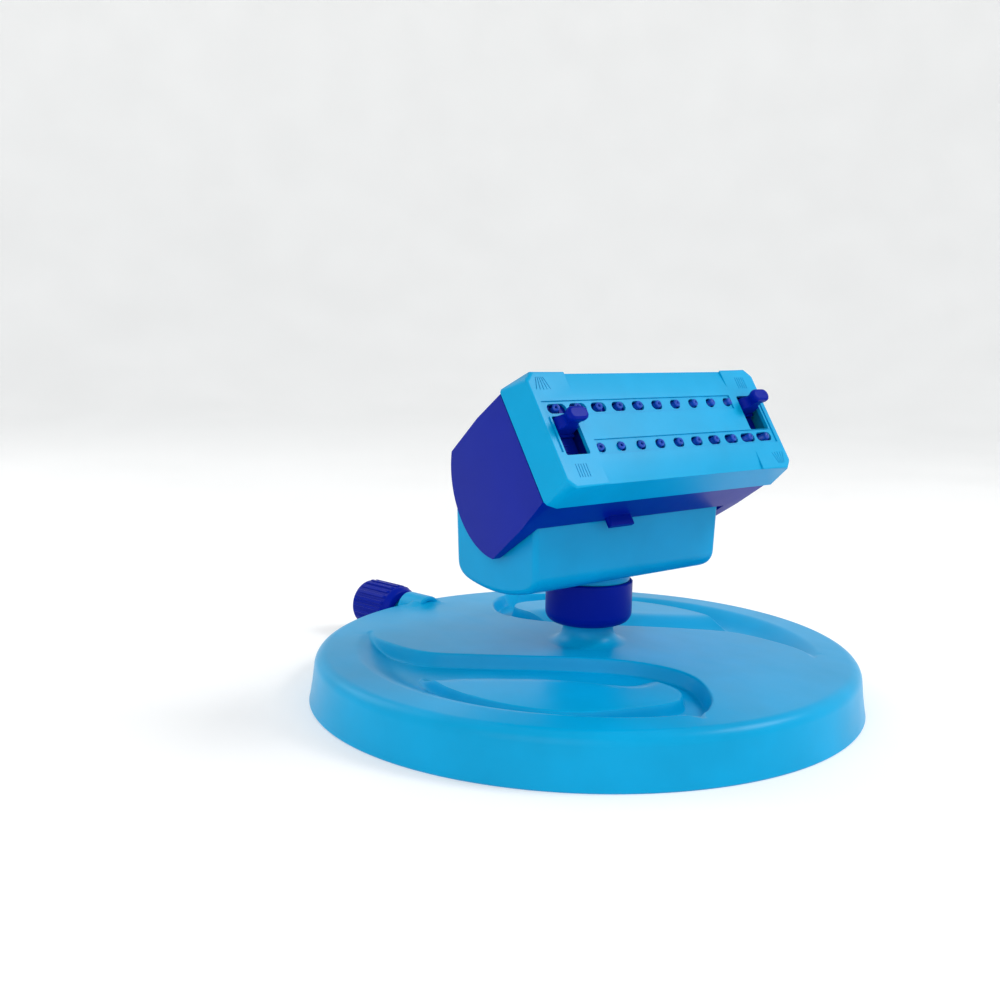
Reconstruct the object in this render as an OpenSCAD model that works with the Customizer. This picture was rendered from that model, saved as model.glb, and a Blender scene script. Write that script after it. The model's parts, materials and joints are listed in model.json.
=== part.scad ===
/* [Base] */
// Radius of the base disc where it meets the ground
base_r = 175; // [160:1:200]
// Height of the base disc at its rim
base_rim_h = 30.5; // [29:0.5:38]
// How much the top of the base rises from rim to centre
base_crown = 3.5; // [2:0.5:6]
// Moulded wall of the base
base_wall = 3; // [2:0.25:4]
// Depth of the two curved recesses in the top
recess_depth = 8.5; // [6:0.5:9]
// Height of the leaf that stands in each recess
leaf_rise = 4.5; // [3:0.5:6]
// Width of the slope on the recess's outer side
recess_ramp = 38; // [30:1:45]
// Screws that hold the bottom plate
base_screw_count = 6; // [4:1:8]

/* [Inlet] */
// Direction of the hose inlet, in degrees from +X
inlet_turn = 96; // [94:1:100]
// Height of the inlet's axis above the ground, under the crown of the base
inlet_z = 21.5; // [20:0.5:22]
// Outer radius of the inlet pipe
pipe_r = 7; // [6:0.25:7.5]
// Wall of the inlet pipe
pipe_wall = 2; // [1.5:0.25:2.5]
// Outer radius of the coupling nut over its ribs
nut_r = 18; // [16:0.5:19]
// Length of the coupling nut
nut_len = 38; // [30:1:40]
// Crest radius of the nut's inner thread, for a 3/4 inch garden hose
thread_r = 12.45; // [12.4:0.05:12.6]
// Length of the threaded stretch
thread_len = 16; // [12:0.5:18]

/* [Swivel] */
// Outer radius of the post that the turret turns on
post_r = 16; // [15:0.5:18]
// Wall of the post
post_wall = 3; // [2.5:0.25:4]
// Height of the post's top edge
post_top = 64; // [62:0.5:64.5]
// Outer radius of the swivelling water tube
swivel_r = 8; // [7:0.25:9]
// Outer radius of the dark collar
collar_r = 27.5; // [26:0.5:30]
// Lowest edge of the collar
collar_z0 = 46.8; // [46:0.2:48]
// Top face of the collar
collar_z1 = 74.3; // [73:0.1:76]

/* [Trough] */
// Half length of the trough
trough_half_l = 79; // [70:0.5:84]
// Half width of the trough
trough_half_w = 37.1; // [36.5:0.1:42]
// Height of the trough's long walls
trough_rim_z = 121; // [112:0.5:121.5]
// Moulded wall of the trough
trough_wall = 2.4; // [2:0.1:3]
// Radius of the ears that carry the pivots
ear_r = 14; // [12:0.5:16]

/* [Head] */
// Height of the axis that the head swings about
pivot_z = 135; // [134:0.5:140]
// Tilt of the head at rest
rest_tilt = 56; // [50:1:56]
// Half length of the head at the seam
head_half_l = 98.7; // [98:0.1:110]
// Half width of the housing
head_half_w = 35.5; // [35:0.1:38]
// Height of the housing's seam above the pivot
seam_z = 56.2; // [55:0.1:60]
// Height of the cover over the seam
cover_h = 18.8; // [18:0.1:22]
// How far the cover stands out past the housing's long sides
cover_lip = 2.4; // [1.5:0.1:3]
// Wall of the head's mouldings
head_wall = 2.4; // [2:0.1:3]
// Underside of the housing between its cheeks, above the pivot
shelf_z = 24; // [22:0.5:26]
// Radius of the lowest arc of the cheeks
cheek_arc_r = 44; // [40:0.5:48]
// Inward slope of the end faces, in mm per mm
end_slope = 0.185; // [0.15:0.005:0.22]
// Outer radius of the belly that dips into the trough
belly_r = 31; // [28:0.5:32]

/* [Nozzles and sliders] */
// Nozzles in each row
nozzle_count = 10; // [8:1:10]
// Distance between nozzles
nozzle_pitch = 15.7; // [14:0.1:16]
// Distance of each row from the head's middle line
row_y = 12.5; // [12:0.1:13]
// Nozzle at the outer end of a row, from the middle
row_end_x = 81; // [80:0.5:82]
// Height of the nozzle slots
slot_w = 6; // [5.6:0.1:6.4]
// Width of the slider windows
window_w = 17.5; // [16:0.5:18]
// Centre of a slider window from the middle
window_x = 79.25; // [79:0.05:80]
// Length of the slider windows
window_l = 23.5; // [22:0.5:24]
// Travel of a slider
slider_travel = 13.5; // [12:0.5:14]
// Travel of a nozzle comb
comb_travel = 1.5; // [1:0.1:1.8]
// Height of a slider knob above the cover
knob_h = 12; // [10:0.5:14]

/* [Gears] */
// Teeth on the full circle of the head's sector gear
sector_teeth = 64;
// Tooth module of the sector gear and its pinion
sector_module = 1;
// Teeth on each small pinion
pinion_teeth = 10;
// Teeth on each wheel of the reduction
wheel_teeth = 30;
// Tooth module of the second pair
second_module = 0.8;
// Tooth module of the third pair
third_module = 0.6;

/* [Fits] */
// Radial clearance of a turning fit
turn_gap = 0.05; // [0.03:0.01:0.08]
// Gap between mouldings that move past each other
move_gap = 1.1; // [0.8:0.1:1.5]
// Clearance of a loose assembled fit
loose_gap = 0.3; // [0.2:0.05:0.4]

/* [Hidden] */
$fn = 96;
eps = 0.01;
light_blue = [0.0, 0.61, 0.83];
dark_blue = [0.0, 0.12, 0.56];
rubber_blue = [0.02, 0.16, 0.5];
steel = [0.75, 0.76, 0.78];
white_plastic = [0.92, 0.92, 0.9];
black_rubber = [0.06, 0.06, 0.06];

// base
rim_round = 8.5;
rim_r = base_r - 12;
plate_t = 2.5;
post_fillet = 10;
recess_outer_r = base_r - 27.6;
recess_floor_z = base_rim_h + 1.5 - recess_depth;
base_screw_ring_r = base_r - 17;
screw_r = 1.7;
pilot_r = 1.75;
screw_hole_r = 2.1;
screw_head_r = 3.4;
screw_head_h = 1.6;
boss_r = 4.8;
foot_r = post_r + post_fillet;
foot_z = crown_z(foot_r + 4) - base_wall - 0.05;
hump_r = 11;
hump_lift = 4.5;
hump_start = base_r - 26;
hump_end = base_r - 3;
post_bore_r = post_r - post_wall;

// inlet, measured along its own axis from the middle of the base
nut_u0 = base_r + 2.5;
nut_u1 = nut_u0 + nut_len;
nut_lip = 3.5;
nut_cavity_r = thread_r + 0.8;
flange_r = nut_cavity_r - 1.2;
flange_t = 3;
flange_u1 = nut_u0 + nut_lip + loose_gap + flange_t;
washer_t = 2.8;
thread_u0 = nut_u1 - thread_len;
rib_count = 22;
tee_r = post_bore_r - 1;
tee_bore_r = 6.5;
tee_top = 39.8;

// swivel
bush_top = tee_top + 16.2;
tube_flange_z = bush_top + 0.2;
tube_flange_t = 2;
ring_z = tube_flange_z + tube_flange_t + 0.2;
swivel_bore_r = swivel_r - 2.5;
collar_round = 7;
collar_roof_z = post_top + 2;
tube_top = 84;

// trough
belly_z = collar_z1 + 0.4;
belly_sag = 6.9;
trough_corner = 6;
neck_r = collar_r - 2;
floor_z = belly_z + trough_wall;
inner_half_l = trough_half_l - trough_wall;
inner_half_w = trough_half_w - trough_wall;
trough_screw_r = 19;

// gear train, all axes along X
sector_r = sector_teeth * sector_module / 2;
pinion_r = pinion_teeth * sector_module / 2;
out_y = 0;
out_z = pivot_z - sector_r - pinion_r;
wheel2_r = wheel_teeth * second_module / 2;
pinion2_r = pinion_teeth * second_module / 2;
mesh2_turn = -28.8;
red_y = out_y + (wheel2_r + pinion2_r) * cos(mesh2_turn);
red_z = out_z + (wheel2_r + pinion2_r) * sin(mesh2_turn);
wheel3_r = wheel_teeth * third_module / 2;
pinion3_r = pinion_teeth * third_module / 2;
tur_y = red_y - wheel3_r - pinion3_r;
tur_z = red_z;
sector_x0 = 36;
sector_t = 6;
plate_left_x = 32;
wheel2_x0 = sector_x0 + sector_t + 2;
wheel_t = 4;
wheel3_x0 = wheel2_x0 + wheel_t + 2;
plate_right_x = wheel3_x0 + wheel_t + 1;
gear_plate_t = 2;
plate_right_x1 = plate_right_x + gear_plate_t;
gear_plate_y0 = -22;
gear_plate_y1 = 23.5;
gear_plate_top = pivot_z - 23;
out_shaft_r = 2;
small_shaft_r = 1.5;
cup_r = 10.5;
cup_wall = 1.5;
cup_x1 = inner_half_l - 1.1;
blade_r = 8.3;
blade_count = 9;

// water path inside the trough, level with the turbine
feed_y = -16;
feed_z = round(tur_z) - 4;
return_y = 28;
return_z = round(tur_z);
line_r = 4;
line_bore_r = 2.8;
manifold_half = 11;
manifold_top = feed_z + 7;
riser_x = -(inner_half_l - 7.1);
riser_r = 5;
trunnion_r = 6;
trunnion_bore_r = 4;
pin_r = 4;
trunnion_in = riser_x + 25.5;

// head
cheek_x = trough_half_l + move_gap;
cheek_arc_z = 11;
cover_top = seam_z + cover_h;
cover_half_w = head_half_w + cover_lip;
cover_top_l = head_half_l - 3.4;
cover_top_w = cover_half_w - 2.3;
cover_side = 4;
belly_x0 = -58;
belly_x1 = 30;
cheek_bore_x = head_half_l - (seam_z + trunnion_r + 4) * end_slope - loose_gap;
tab_x = -19.5;
tab_w = 20;
tab_t = 4.4;
tab_z = 27.5;
tab_out = 6;
head_screw_x = 64;
head_screw_y = 28;
head_screw_seat = 46;

// layers under the cover, above the pivot
skin_z = cover_top - head_wall;
chamber_z0 = shelf_z + head_wall;
chamber_top = cover_top - 9;
lid_t = 2;
strip_t = 2;
strip_z0 = chamber_top + lid_t;
comb_z0 = strip_z0 + strip_t + 0.3;
comb_t = 1.8;
tip_z = cover_top - 0.5;
chamber_half_w = 20;
chamber_mid_l = 66;
chamber_end_l = head_half_l - 10.7;
window_back = 7.5;
chamber_end_y = window_back + 1.8;
leg_x = trunnion_in + 3;
leg_r = 11;
band_depth = 0.8;
slide_floor_z = chamber_top - 0.5;
slide_plate_t = 3;
slider_foot_z0 = slide_floor_z + 0.9;
slider_foot_t = 1.8;
knob_w = 12.5;
knob_l = 7.6;
slider_back = window_back - 0.5;

// ---------- helpers ----------

// points on an arc
function arc(cx, cy, r, a0, a1, n = 12) =
    [for (i = [0:n]) [cx + r * cos(a0 + (a1 - a0) * i / n), cy + r * sin(a0 + (a1 - a0) * i / n)]];

// one point of a smooth curve through p1 and p2
function curve_point(p0, p1, p2, p3, t) =
    0.5 * (2 * p1 + (p2 - p0) * t + (2 * p0 - 5 * p1 + 4 * p2 - p3) * t * t
        + (3 * p1 - p0 - 3 * p2 + p3) * t * t * t);

// smooth open curve through a few points, with n steps between each pair
function smooth(pts, n = 4) = let (last = len(pts) - 1) concat(
    [for (i = [0:last - 1], j = [0:n - 1])
        curve_point(pts[max(i - 1, 0)], pts[i], pts[i + 1], pts[min(i + 2, last)], j / n)],
    [pts[last]]);

// a clockwise outline moved outwards by d
function grown(pts, d) = let (n = len(pts)) [for (i = [0:n - 1])
    let (t = pts[(i + 1) % n] - pts[(i + n - 1) % n]) pts[i] + d * [-t[1], t[0]] / norm(t)];

function scaled(pts, k) = [for (p = pts) p * k];

// rectangle with cut corners, cut by cx along X and cy along Y
function octagon(hx, hy, cx, cy) = [
    [hx, hy - cy], [hx - cx, hy], [cx - hx, hy], [-hx, hy - cy],
    [-hx, cy - hy], [cx - hx, -hy], [hx - cx, -hy], [hx, cy - hy]];

// gear outline: straight-sided teeth with backlash, one tooth centred on the angle phase
function tooth(pitch_r, m, p, a) = let (root = pitch_r - 1.15 * m, tip = pitch_r + 0.8 * m) [
    [root * cos(a - 0.3 * p), root * sin(a - 0.3 * p)],
    [tip * cos(a - 0.125 * p), tip * sin(a - 0.125 * p)],
    [tip * cos(a + 0.125 * p), tip * sin(a + 0.125 * p)],
    [root * cos(a + 0.3 * p), root * sin(a + 0.3 * p)]];
function gear(teeth, m, phase) = let (p = 360 / teeth)
    [for (i = [0:teeth - 1], q = tooth(teeth * m / 2, m, p, phase + i * p)) q];

// outline in Y and Z, extruded along X
module along_x(x0, x1) translate([x0, 0, 0]) rotate([90, 0, 90]) linear_extrude(x1 - x0) children();
module tube_x(r, x0, x1, y = 0, z = 0) translate([x0, y, z]) rotate([0, 90, 0]) cylinder(r = r, h = x1 - x0);
module tube_z(r, z0, z1, x = 0, y = 0) translate([x, y, z0]) cylinder(r = r, h = z1 - z0);
module block(x0, x1, y0, y1, z0, z1) translate([x0, y0, z0]) cube([x1 - x0, y1 - y0, z1 - z0]);
// lie along the inlet's axis: local Z runs outwards
module along_inlet() rotate([0, 0, inlet_turn]) translate([0, 0, inlet_z]) rotate([0, 90, 0]) children();
// from the head's own frame to its place at rest
module in_head() translate([0, 0, pivot_z]) rotate([rest_tilt, 0, 0]) children();
module both_ends() {
    children();
    rotate([0, 0, 180]) children();
}
module o_ring(r, section) rotate_extrude() translate([r, 0]) circle(section, $fn = 32);
module screw(length) {
    cylinder(r = screw_r, h = length, $fn = 32);
    cylinder(r = screw_head_r, h = screw_head_h, $fn = 48);
}

// ---------- base ----------

function crown_z(r) = base_rim_h + base_crown * (1 - pow(r / rim_r, 2));
function crown_points(drop, r0, r1, n = 8) =
    [for (i = [0:n]) let (r = r0 + (r1 - r0) * i / n) [r, crown_z(r) - drop]];
module base_outer() rotate_extrude($fn = 180) polygon(concat(
    [[0, 0], [base_r, 0]],
    arc(rim_r, base_rim_h - rim_round, rim_round, 8, 90, 8),
    crown_points(0, rim_r - 4, 0)));
module base_inner() rotate_extrude($fn = 180) polygon(concat(
    [[0, -1], [base_r - base_wall - 0.5, -1]],
    arc(rim_r, base_rim_h - rim_round, rim_round - base_wall, 8, 90, 8),
    crown_points(base_wall, rim_r - 4, 0)));

// curved recess: an inner wall chosen by hand, closed by the rim's own arc; sizes are on a 175 mm base
recess_wall = [[-92, 109], [-101, 88], [-98, 45], [-76, 15], [-36, -25.5], [-12, -57], [-6, -91], [-25, -123],
    [-46, -138]];
leaf_edge = [[-118, 18], [-127, -20], [-119, -64], [-95, -98], [-51, -116], [-31, -110], [-25.5, -90],
    [-32, -64], [-54, -33], [-90, 1], [-110, 14]];
function recess_outline() = concat(smooth(scaled(recess_wall, base_r / 175)),
    arc(0, 0, recess_outer_r, 247, 134, 24));
// the recess is level inside and slopes up to run out flush at the rim
module recess_slope() rotate_extrude($fn = 180) polygon([
    [0, recess_floor_z], [recess_outer_r - recess_ramp, recess_floor_z],
    [recess_outer_r, crown_z(recess_outer_r) - 0.4], [recess_outer_r, base_r], [0, base_r]]);
module base_bosses() for (i = [0:base_screw_count - 1]) rotate([0, 0, 6 + i * 360 / base_screw_count])
    translate([base_screw_ring_r, 0, plate_t]) cylinder(r = boss_r, h = base_rim_h);
module inlet_hump() translate([0, 0, hump_lift]) along_inlet() translate([0, 0, hump_start])
    cylinder(r = hump_r, h = hump_end - hump_start);

module base_shell() color(light_blue) difference() {
    union() {
        difference() {
            base_outer();
            difference() {
                base_inner();
                both_ends() translate([0, 0, recess_floor_z - base_wall]) linear_extrude(base_rim_h)
                    polygon(grown(recess_outline(), base_wall));
            }
            both_ends() intersection() {
                translate([0, 0, recess_floor_z]) linear_extrude(base_rim_h) polygon(recess_outline());
                recess_slope();
            }
        }
        both_ends() translate([0, 0, recess_floor_z - 1]) linear_extrude(leaf_rise + 1)
            polygon(smooth(scaled(leaf_edge, base_r / 175)));
        intersection() {
            base_outer();
            base_bosses();
        }
        inlet_hump();
    }
    tube_z(foot_r, -1, post_top);
    tube_z(base_r - base_wall - 0.5, -1, plate_t);
    along_inlet() translate([0, 0, foot_r]) cylinder(r = pipe_r + loose_gap, h = base_r);
    for (i = [0:base_screw_count - 1]) rotate([0, 0, 6 + i * 360 / base_screw_count])
        tube_z(pilot_r, 0, 18, base_screw_ring_r);
}
// the post stands on a foot that is bonded under the crown, and its fillet runs out flush with the top
module centre_post() color(light_blue) difference() {
    rotate_extrude($fn = 180) polygon(concat(
        [[post_bore_r, plate_t], [post_r, plate_t], [post_r, foot_z - 3], [foot_r + 4, foot_z - 3],
            [foot_r + 4, foot_z], [foot_r, foot_z], [foot_r, crown_z(foot_r)]],
        arc(foot_r, crown_z(foot_r) + post_fillet, post_fillet, 268, 180, 12),
        [[post_r, post_top], [post_bore_r, post_top]]));
    along_inlet() translate([0, 0, tee_r - 4]) cylinder(r = pipe_r + loose_gap, h = foot_r);
}
module base_plate() color(dark_blue) difference() {
    tube_z(base_r - base_wall - 0.5 - loose_gap, 0, plate_t);
    for (i = [0:base_screw_count - 1]) rotate([0, 0, 6 + i * 360 / base_screw_count]) {
        tube_z(screw_hole_r, -1, plate_t + 1, base_screw_ring_r);
        tube_z(screw_head_r + 0.4, -1, screw_head_h + 0.3, base_screw_ring_r);
    }
}
module base_screws() color(steel) for (i = [0:base_screw_count - 1])
    rotate([0, 0, 6 + i * 360 / base_screw_count]) translate([base_screw_ring_r, 0, 0.2]) screw(14);

module riser_tee() color(white_plastic) difference() {
    tube_z(tee_r, plate_t, tee_top);
    tube_z(tee_bore_r, plate_t + 6, tee_top + 1);
    along_inlet() cylinder(r = pipe_r - pipe_wall, h = tee_r);
    along_inlet() translate([0, 0, tee_r - 4]) cylinder(r = pipe_r + turn_gap, h = 6);
}
module inlet_pipe() color(light_blue) along_inlet() difference() {
    union() {
        translate([0, 0, tee_r - 4]) cylinder(r = pipe_r, h = flange_u1 - tee_r + 4);
        translate([0, 0, flange_u1 - flange_t]) cylinder(r = flange_r, h = flange_t);
    }
    cylinder(r = pipe_r - pipe_wall, h = flange_u1 + 1);
}
module hose_washer() color(black_rubber) along_inlet() translate([0, 0, flange_u1]) difference() {
    cylinder(r = flange_r, h = washer_t);
    translate([0, 0, -1]) cylinder(r = 6.6, h = washer_t + 2);
}
module filter_screen() color(steel) along_inlet() translate([0, 0, flange_u1 + washer_t]) {
    difference() {
        cylinder(r = flange_r, h = 0.8);
        translate([0, 0, -1]) cylinder(r = 8.2, h = 3);
    }
    difference() {
        cylinder(r = 8.2, h = 2.4);
        translate([0, 0, -1]) cylinder(r = 7.4, h = 2.8);
    }
}
module coupling_nut() color(dark_blue) along_inlet() translate([0, 0, nut_u0]) difference() {
    union() {
        cylinder(r = nut_r - 0.9, h = nut_len);
        for (i = [0:rib_count - 1]) rotate([0, 0, i * 360 / rib_count])
            block(nut_r - 3, nut_r, -1.1, 1.1, 4.5, nut_len - 3);
    }
    translate([0, 0, -1]) cylinder(r = pipe_r + turn_gap, h = nut_lip + 2);
    translate([0, 0, nut_lip]) cylinder(r = nut_cavity_r, h = nut_len - thread_len - nut_lip);
    translate([0, 0, nut_lip]) cylinder(r = thread_r, h = nut_len);
}

// ---------- swivel ----------

module swivel_bush() color(white_plastic) difference() {
    tube_z(post_bore_r, tee_top, bush_top);
    tube_z(swivel_r + turn_gap, tee_top - 1, bush_top + 1);
    tube_z(swivel_r + 3.2, bush_top - 7.2, bush_top - 4.8);
}
module swivel_seal() color(black_rubber) translate([0, 0, bush_top - 6]) o_ring(swivel_r + 1.9, 1.15);
module retainer_ring() color(white_plastic) difference() {
    tube_z(post_bore_r, ring_z, post_top);
    tube_z(swivel_r + turn_gap, ring_z - 1, post_top + 1);
}
module swivel_collar() color(dark_blue) difference() {
    rotate_extrude() polygon(concat([[0, collar_z0]],
        arc(collar_r - collar_round, collar_z0 + collar_round, collar_round, -90, 0, 8),
        [[collar_r, collar_z1], [0, collar_z1]]));
    tube_z(post_r + 0.5, collar_z0 - 1, collar_roof_z);
    tube_z(swivel_r + turn_gap, collar_z0, collar_z1 + 1);
    for (i = [0:2]) rotate([0, 0, 30 + i * 120])
        tube_z(pilot_r, collar_z1 - 6, collar_z1 + 1, trough_screw_r);
}
module swivel_tube() color(white_plastic) difference() {
    union() {
        tube_z(swivel_r, tee_top + 0.6, tube_top);
        tube_z(post_bore_r - 0.5, tube_flange_z, tube_flange_z + tube_flange_t);
    }
    tube_z(swivel_bore_r, tee_top, tube_top + 1);
}

// ---------- trough ----------

function trough_outline(hw, zb, top, r) = let (zc = zb + belly_sag * pow((hw - r) / hw, 2) + r) concat(
    [[hw, top]], arc(hw - r, zc, r, 0, -75, 6),
    [for (i = [0:16]) let (y = (hw - r) * (1 - i / 8)) [y, zb + belly_sag * pow(y / hw, 2)]],
    arc(r - hw, zc, r, 255, 180, 6), [[-hw, top]]);
function rounded_plan(hx, hy, r) = concat(
    arc(hx - r, hy - r, r, 0, 90, 6), arc(r - hx, hy - r, r, 90, 180, 6),
    arc(r - hx, r - hy, r, 180, 270, 6), arc(hx - r, r - hy, r, 270, 360, 6));
module trough_space(inset, top) intersection() {
    along_x(-trough_half_l, trough_half_l)
        polygon(trough_outline(trough_half_w - inset, belly_z + inset, top, 5));
    translate([0, 0, belly_z - 1]) linear_extrude(top)
        polygon(rounded_plan(trough_half_l - inset, trough_half_w - inset, trough_corner - inset));
}
module ear() along_x(inner_half_l, trough_half_l) {
    translate([0, pivot_z]) circle(ear_r);
    polygon([[-ear_r, pivot_z], [ear_r, pivot_z], [trough_half_w - 8, trough_rim_z - 2],
        [8 - trough_half_w, trough_rim_z - 2]]);
}
module trough() color(light_blue) difference() {
    union() {
        difference() {
            trough_space(0, trough_rim_z);
            trough_space(trough_wall, trough_rim_z + 1);
        }
        both_ends() ear();
        difference() {
            tube_z(neck_r, collar_z1, floor_z + 3);
            trough_space(trough_wall, trough_rim_z);
        }
    }
    tube_z(swivel_r + turn_gap, 70, 90);
    for (i = [0:2]) rotate([0, 0, 30 + i * 120]) tube_z(screw_hole_r, 70, 90, trough_screw_r);
    tube_x(trunnion_r + turn_gap, -90, 0, 0, pivot_z);
    tube_x(pin_r + turn_gap, 0, 90, 0, pivot_z);
}
module trough_screws() color(steel) for (i = [0:2]) rotate([0, 0, 30 + i * 120])
    translate([trough_screw_r, 0, floor_z + 6.2]) rotate([180, 0, 0]) screw(14);

// ---------- water path ----------

module feed_manifold() color(white_plastic) difference() {
    intersection() {
        block(-manifold_half, manifold_half, feed_y - 6, manifold_half - 1, floor_z, manifold_top);
        trough_space(trough_wall, trough_rim_z);
    }
    tube_z(swivel_r + turn_gap, 70, tube_top);
    tube_z(swivel_bore_r, 70, feed_z + 3);
    translate([0, 0, feed_z]) rotate([90, 0, 0]) cylinder(r = line_bore_r, h = -feed_y);
    tube_x(line_bore_r, 0, 30, feed_y, feed_z);
    tube_x(line_r + turn_gap, manifold_half - 4, 30, feed_y, feed_z);
    for (i = [0:2]) rotate([0, 0, 30 + i * 120])
        tube_z(screw_head_r + loose_gap, 70, 100, trough_screw_r);
}
module feed_tube() color(dark_blue) difference() {
    tube_x(line_r, manifold_half - 4, plate_right_x1 + 4, feed_y, feed_z);
    tube_x(line_bore_r, 0, 90, feed_y, feed_z);
}
module turbine_housing() color(white_plastic) difference() {
    union() {
        tube_x(cup_r, plate_right_x1, cup_x1, tur_y, tur_z);
        block(plate_right_x1, plate_right_x1 + 10, feed_y - 6, tur_y, feed_z - 5.5, feed_z + 5.5);
        block(plate_right_x1, plate_right_x1 + 10, tur_y, return_y + 5, return_z - 5, return_z + 5);
    }
    tube_x(cup_r - cup_wall, plate_right_x1 - 1, cup_x1 - cup_wall, tur_y, tur_z);
    tube_x(small_shaft_r + turn_gap, plate_right_x1, 90, tur_y, tur_z);
    tube_x(line_r + turn_gap, plate_right_x1 - 1, plate_right_x1 + 4, feed_y, feed_z);
    translate([plate_right_x1 + 5, feed_y, feed_z]) rotate([-90, 0, 0]) cylinder(r = line_bore_r, h = 12);
    tube_x(line_bore_r, plate_right_x1, plate_right_x1 + 5, feed_y, feed_z);
    tube_x(line_r + turn_gap, plate_right_x1 - 1, plate_right_x1 + 4, return_y, return_z);
    translate([plate_right_x1 + 5, 8, return_z]) rotate([-90, 0, 0])
        cylinder(r = line_bore_r, h = return_y - 8);
    tube_x(line_bore_r, plate_right_x1, plate_right_x1 + 5, return_y, return_z);
}
module return_tube() color(dark_blue) difference() {
    union() {
        tube_x(line_r, riser_x, plate_right_x1 + 4, return_y, return_z);
        translate([riser_x, riser_r + turn_gap, return_z]) rotate([-90, 0, 0])
            cylinder(r = line_r, h = return_y - riser_r - turn_gap);
        translate([riser_x, return_y, return_z]) sphere(line_r);
    }
    tube_x(line_bore_r, riser_x, 90, return_y, return_z);
    translate([riser_x, 0, return_z]) rotate([-90, 0, 0]) cylinder(r = line_bore_r, h = return_y);
}
module water_trunnion() color(white_plastic) difference() {
    union() {
        tube_z(riser_r, floor_z + 0.2, pivot_z, riser_x);
        tube_x(trunnion_r, -cheek_bore_x + loose_gap, trunnion_in, 0, pivot_z);
        translate([riser_x, 0, pivot_z]) sphere(trunnion_r + 0.8);
    }
    tube_z(riser_r - 1.6, floor_z + 4, pivot_z, riser_x);
    tube_x(trunnion_bore_r, riser_x - 2, trunnion_in + 1, 0, pivot_z);
    translate([riser_x, 0, return_z]) rotate([-90, 0, 0]) cylinder(r = line_bore_r, h = 9);
}
module pivot_pin() color(steel) {
    tube_x(pin_r, inner_half_l - 4, cheek_bore_x - loose_gap, 0, pivot_z);
    tube_x(pin_r + 2.5, inner_half_l - 4, inner_half_l, 0, pivot_z);
}

// ---------- gear train ----------

module gear_plate(x) difference() {
    intersection() {
        block(x, x + gear_plate_t, gear_plate_y0, gear_plate_y1, floor_z, gear_plate_top);
        trough_space(trough_wall, trough_rim_z);
    }
    tube_x(out_shaft_r + turn_gap, x - 1, x + 5, out_y, out_z);
    tube_x(small_shaft_r + turn_gap, x - 1, x + 5, red_y, red_z);
    tube_x(line_r + turn_gap, x - 1, x + 5, feed_y, feed_z);
}
module gear_plate_left() color(white_plastic) gear_plate(plate_left_x);
module gear_plate_right() color(white_plastic) difference() {
    gear_plate(plate_right_x);
    tube_x(small_shaft_r + turn_gap, plate_right_x - 1, plate_right_x + 5, tur_y, tur_z);
}
module spur(x0, t, teeth, m, phase, y, z, bore) difference() {
    translate([0, y, z]) along_x(x0, x0 + t) polygon(gear(teeth, m, phase));
    tube_x(bore, x0 - 1, x0 + t + 1, y, z);
}
pinion_step = 180 / pinion_teeth;
module output_gear() color(white_plastic) {
    spur(sector_x0, sector_t, pinion_teeth, sector_module, 90 + pinion_step, out_y, out_z, out_shaft_r);
    spur(wheel2_x0, wheel_t, wheel_teeth, second_module, mesh2_turn, out_y, out_z, out_shaft_r);
    difference() {
        tube_x(3.6, sector_x0 + sector_t, wheel2_x0, out_y, out_z);
        tube_x(out_shaft_r, sector_x0, wheel2_x0 + 1, out_y, out_z);
    }
}
module reduction_gear() color(white_plastic) {
    spur(wheel2_x0, wheel_t, pinion_teeth, second_module, mesh2_turn + 180 + pinion_step, red_y, red_z,
        small_shaft_r);
    spur(wheel3_x0, wheel_t, wheel_teeth, third_module, 180, red_y, red_z, small_shaft_r);
    difference() {
        tube_x(2.8, wheel2_x0 + wheel_t, wheel3_x0, red_y, red_z);
        tube_x(small_shaft_r, wheel2_x0, wheel3_x0 + 1, red_y, red_z);
    }
}
module turbine_pinion() color(white_plastic)
    spur(wheel3_x0, wheel_t, pinion_teeth, third_module, pinion_step, tur_y, tur_z, small_shaft_r);
module turbine_wheel() color(white_plastic) difference() {
    union() {
        tube_x(3.2, plate_right_x1 + 1, cup_x1 - cup_wall - 1, tur_y, tur_z);
        for (i = [0:blade_count - 1]) translate([0, tur_y, tur_z]) rotate([i * 360 / blade_count, 0, 0])
            block(plate_right_x1 + 1, cup_x1 - cup_wall - 1, 2, blade_r, -0.5, 0.5);
    }
    tube_x(small_shaft_r, 50, 90, tur_y, tur_z);
}
module output_shaft() color(steel)
    tube_x(out_shaft_r, plate_left_x - 0.5, plate_right_x1 - 0.2, out_y, out_z);
module reduction_shaft() color(steel)
    tube_x(small_shaft_r, plate_left_x - 0.5, plate_right_x1 - 0.2, red_y, red_z);
module turbine_shaft() color(steel) tube_x(small_shaft_r, wheel3_x0 - 0.5, cup_x1, tur_y, tur_z);

// ---------- head ----------

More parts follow.
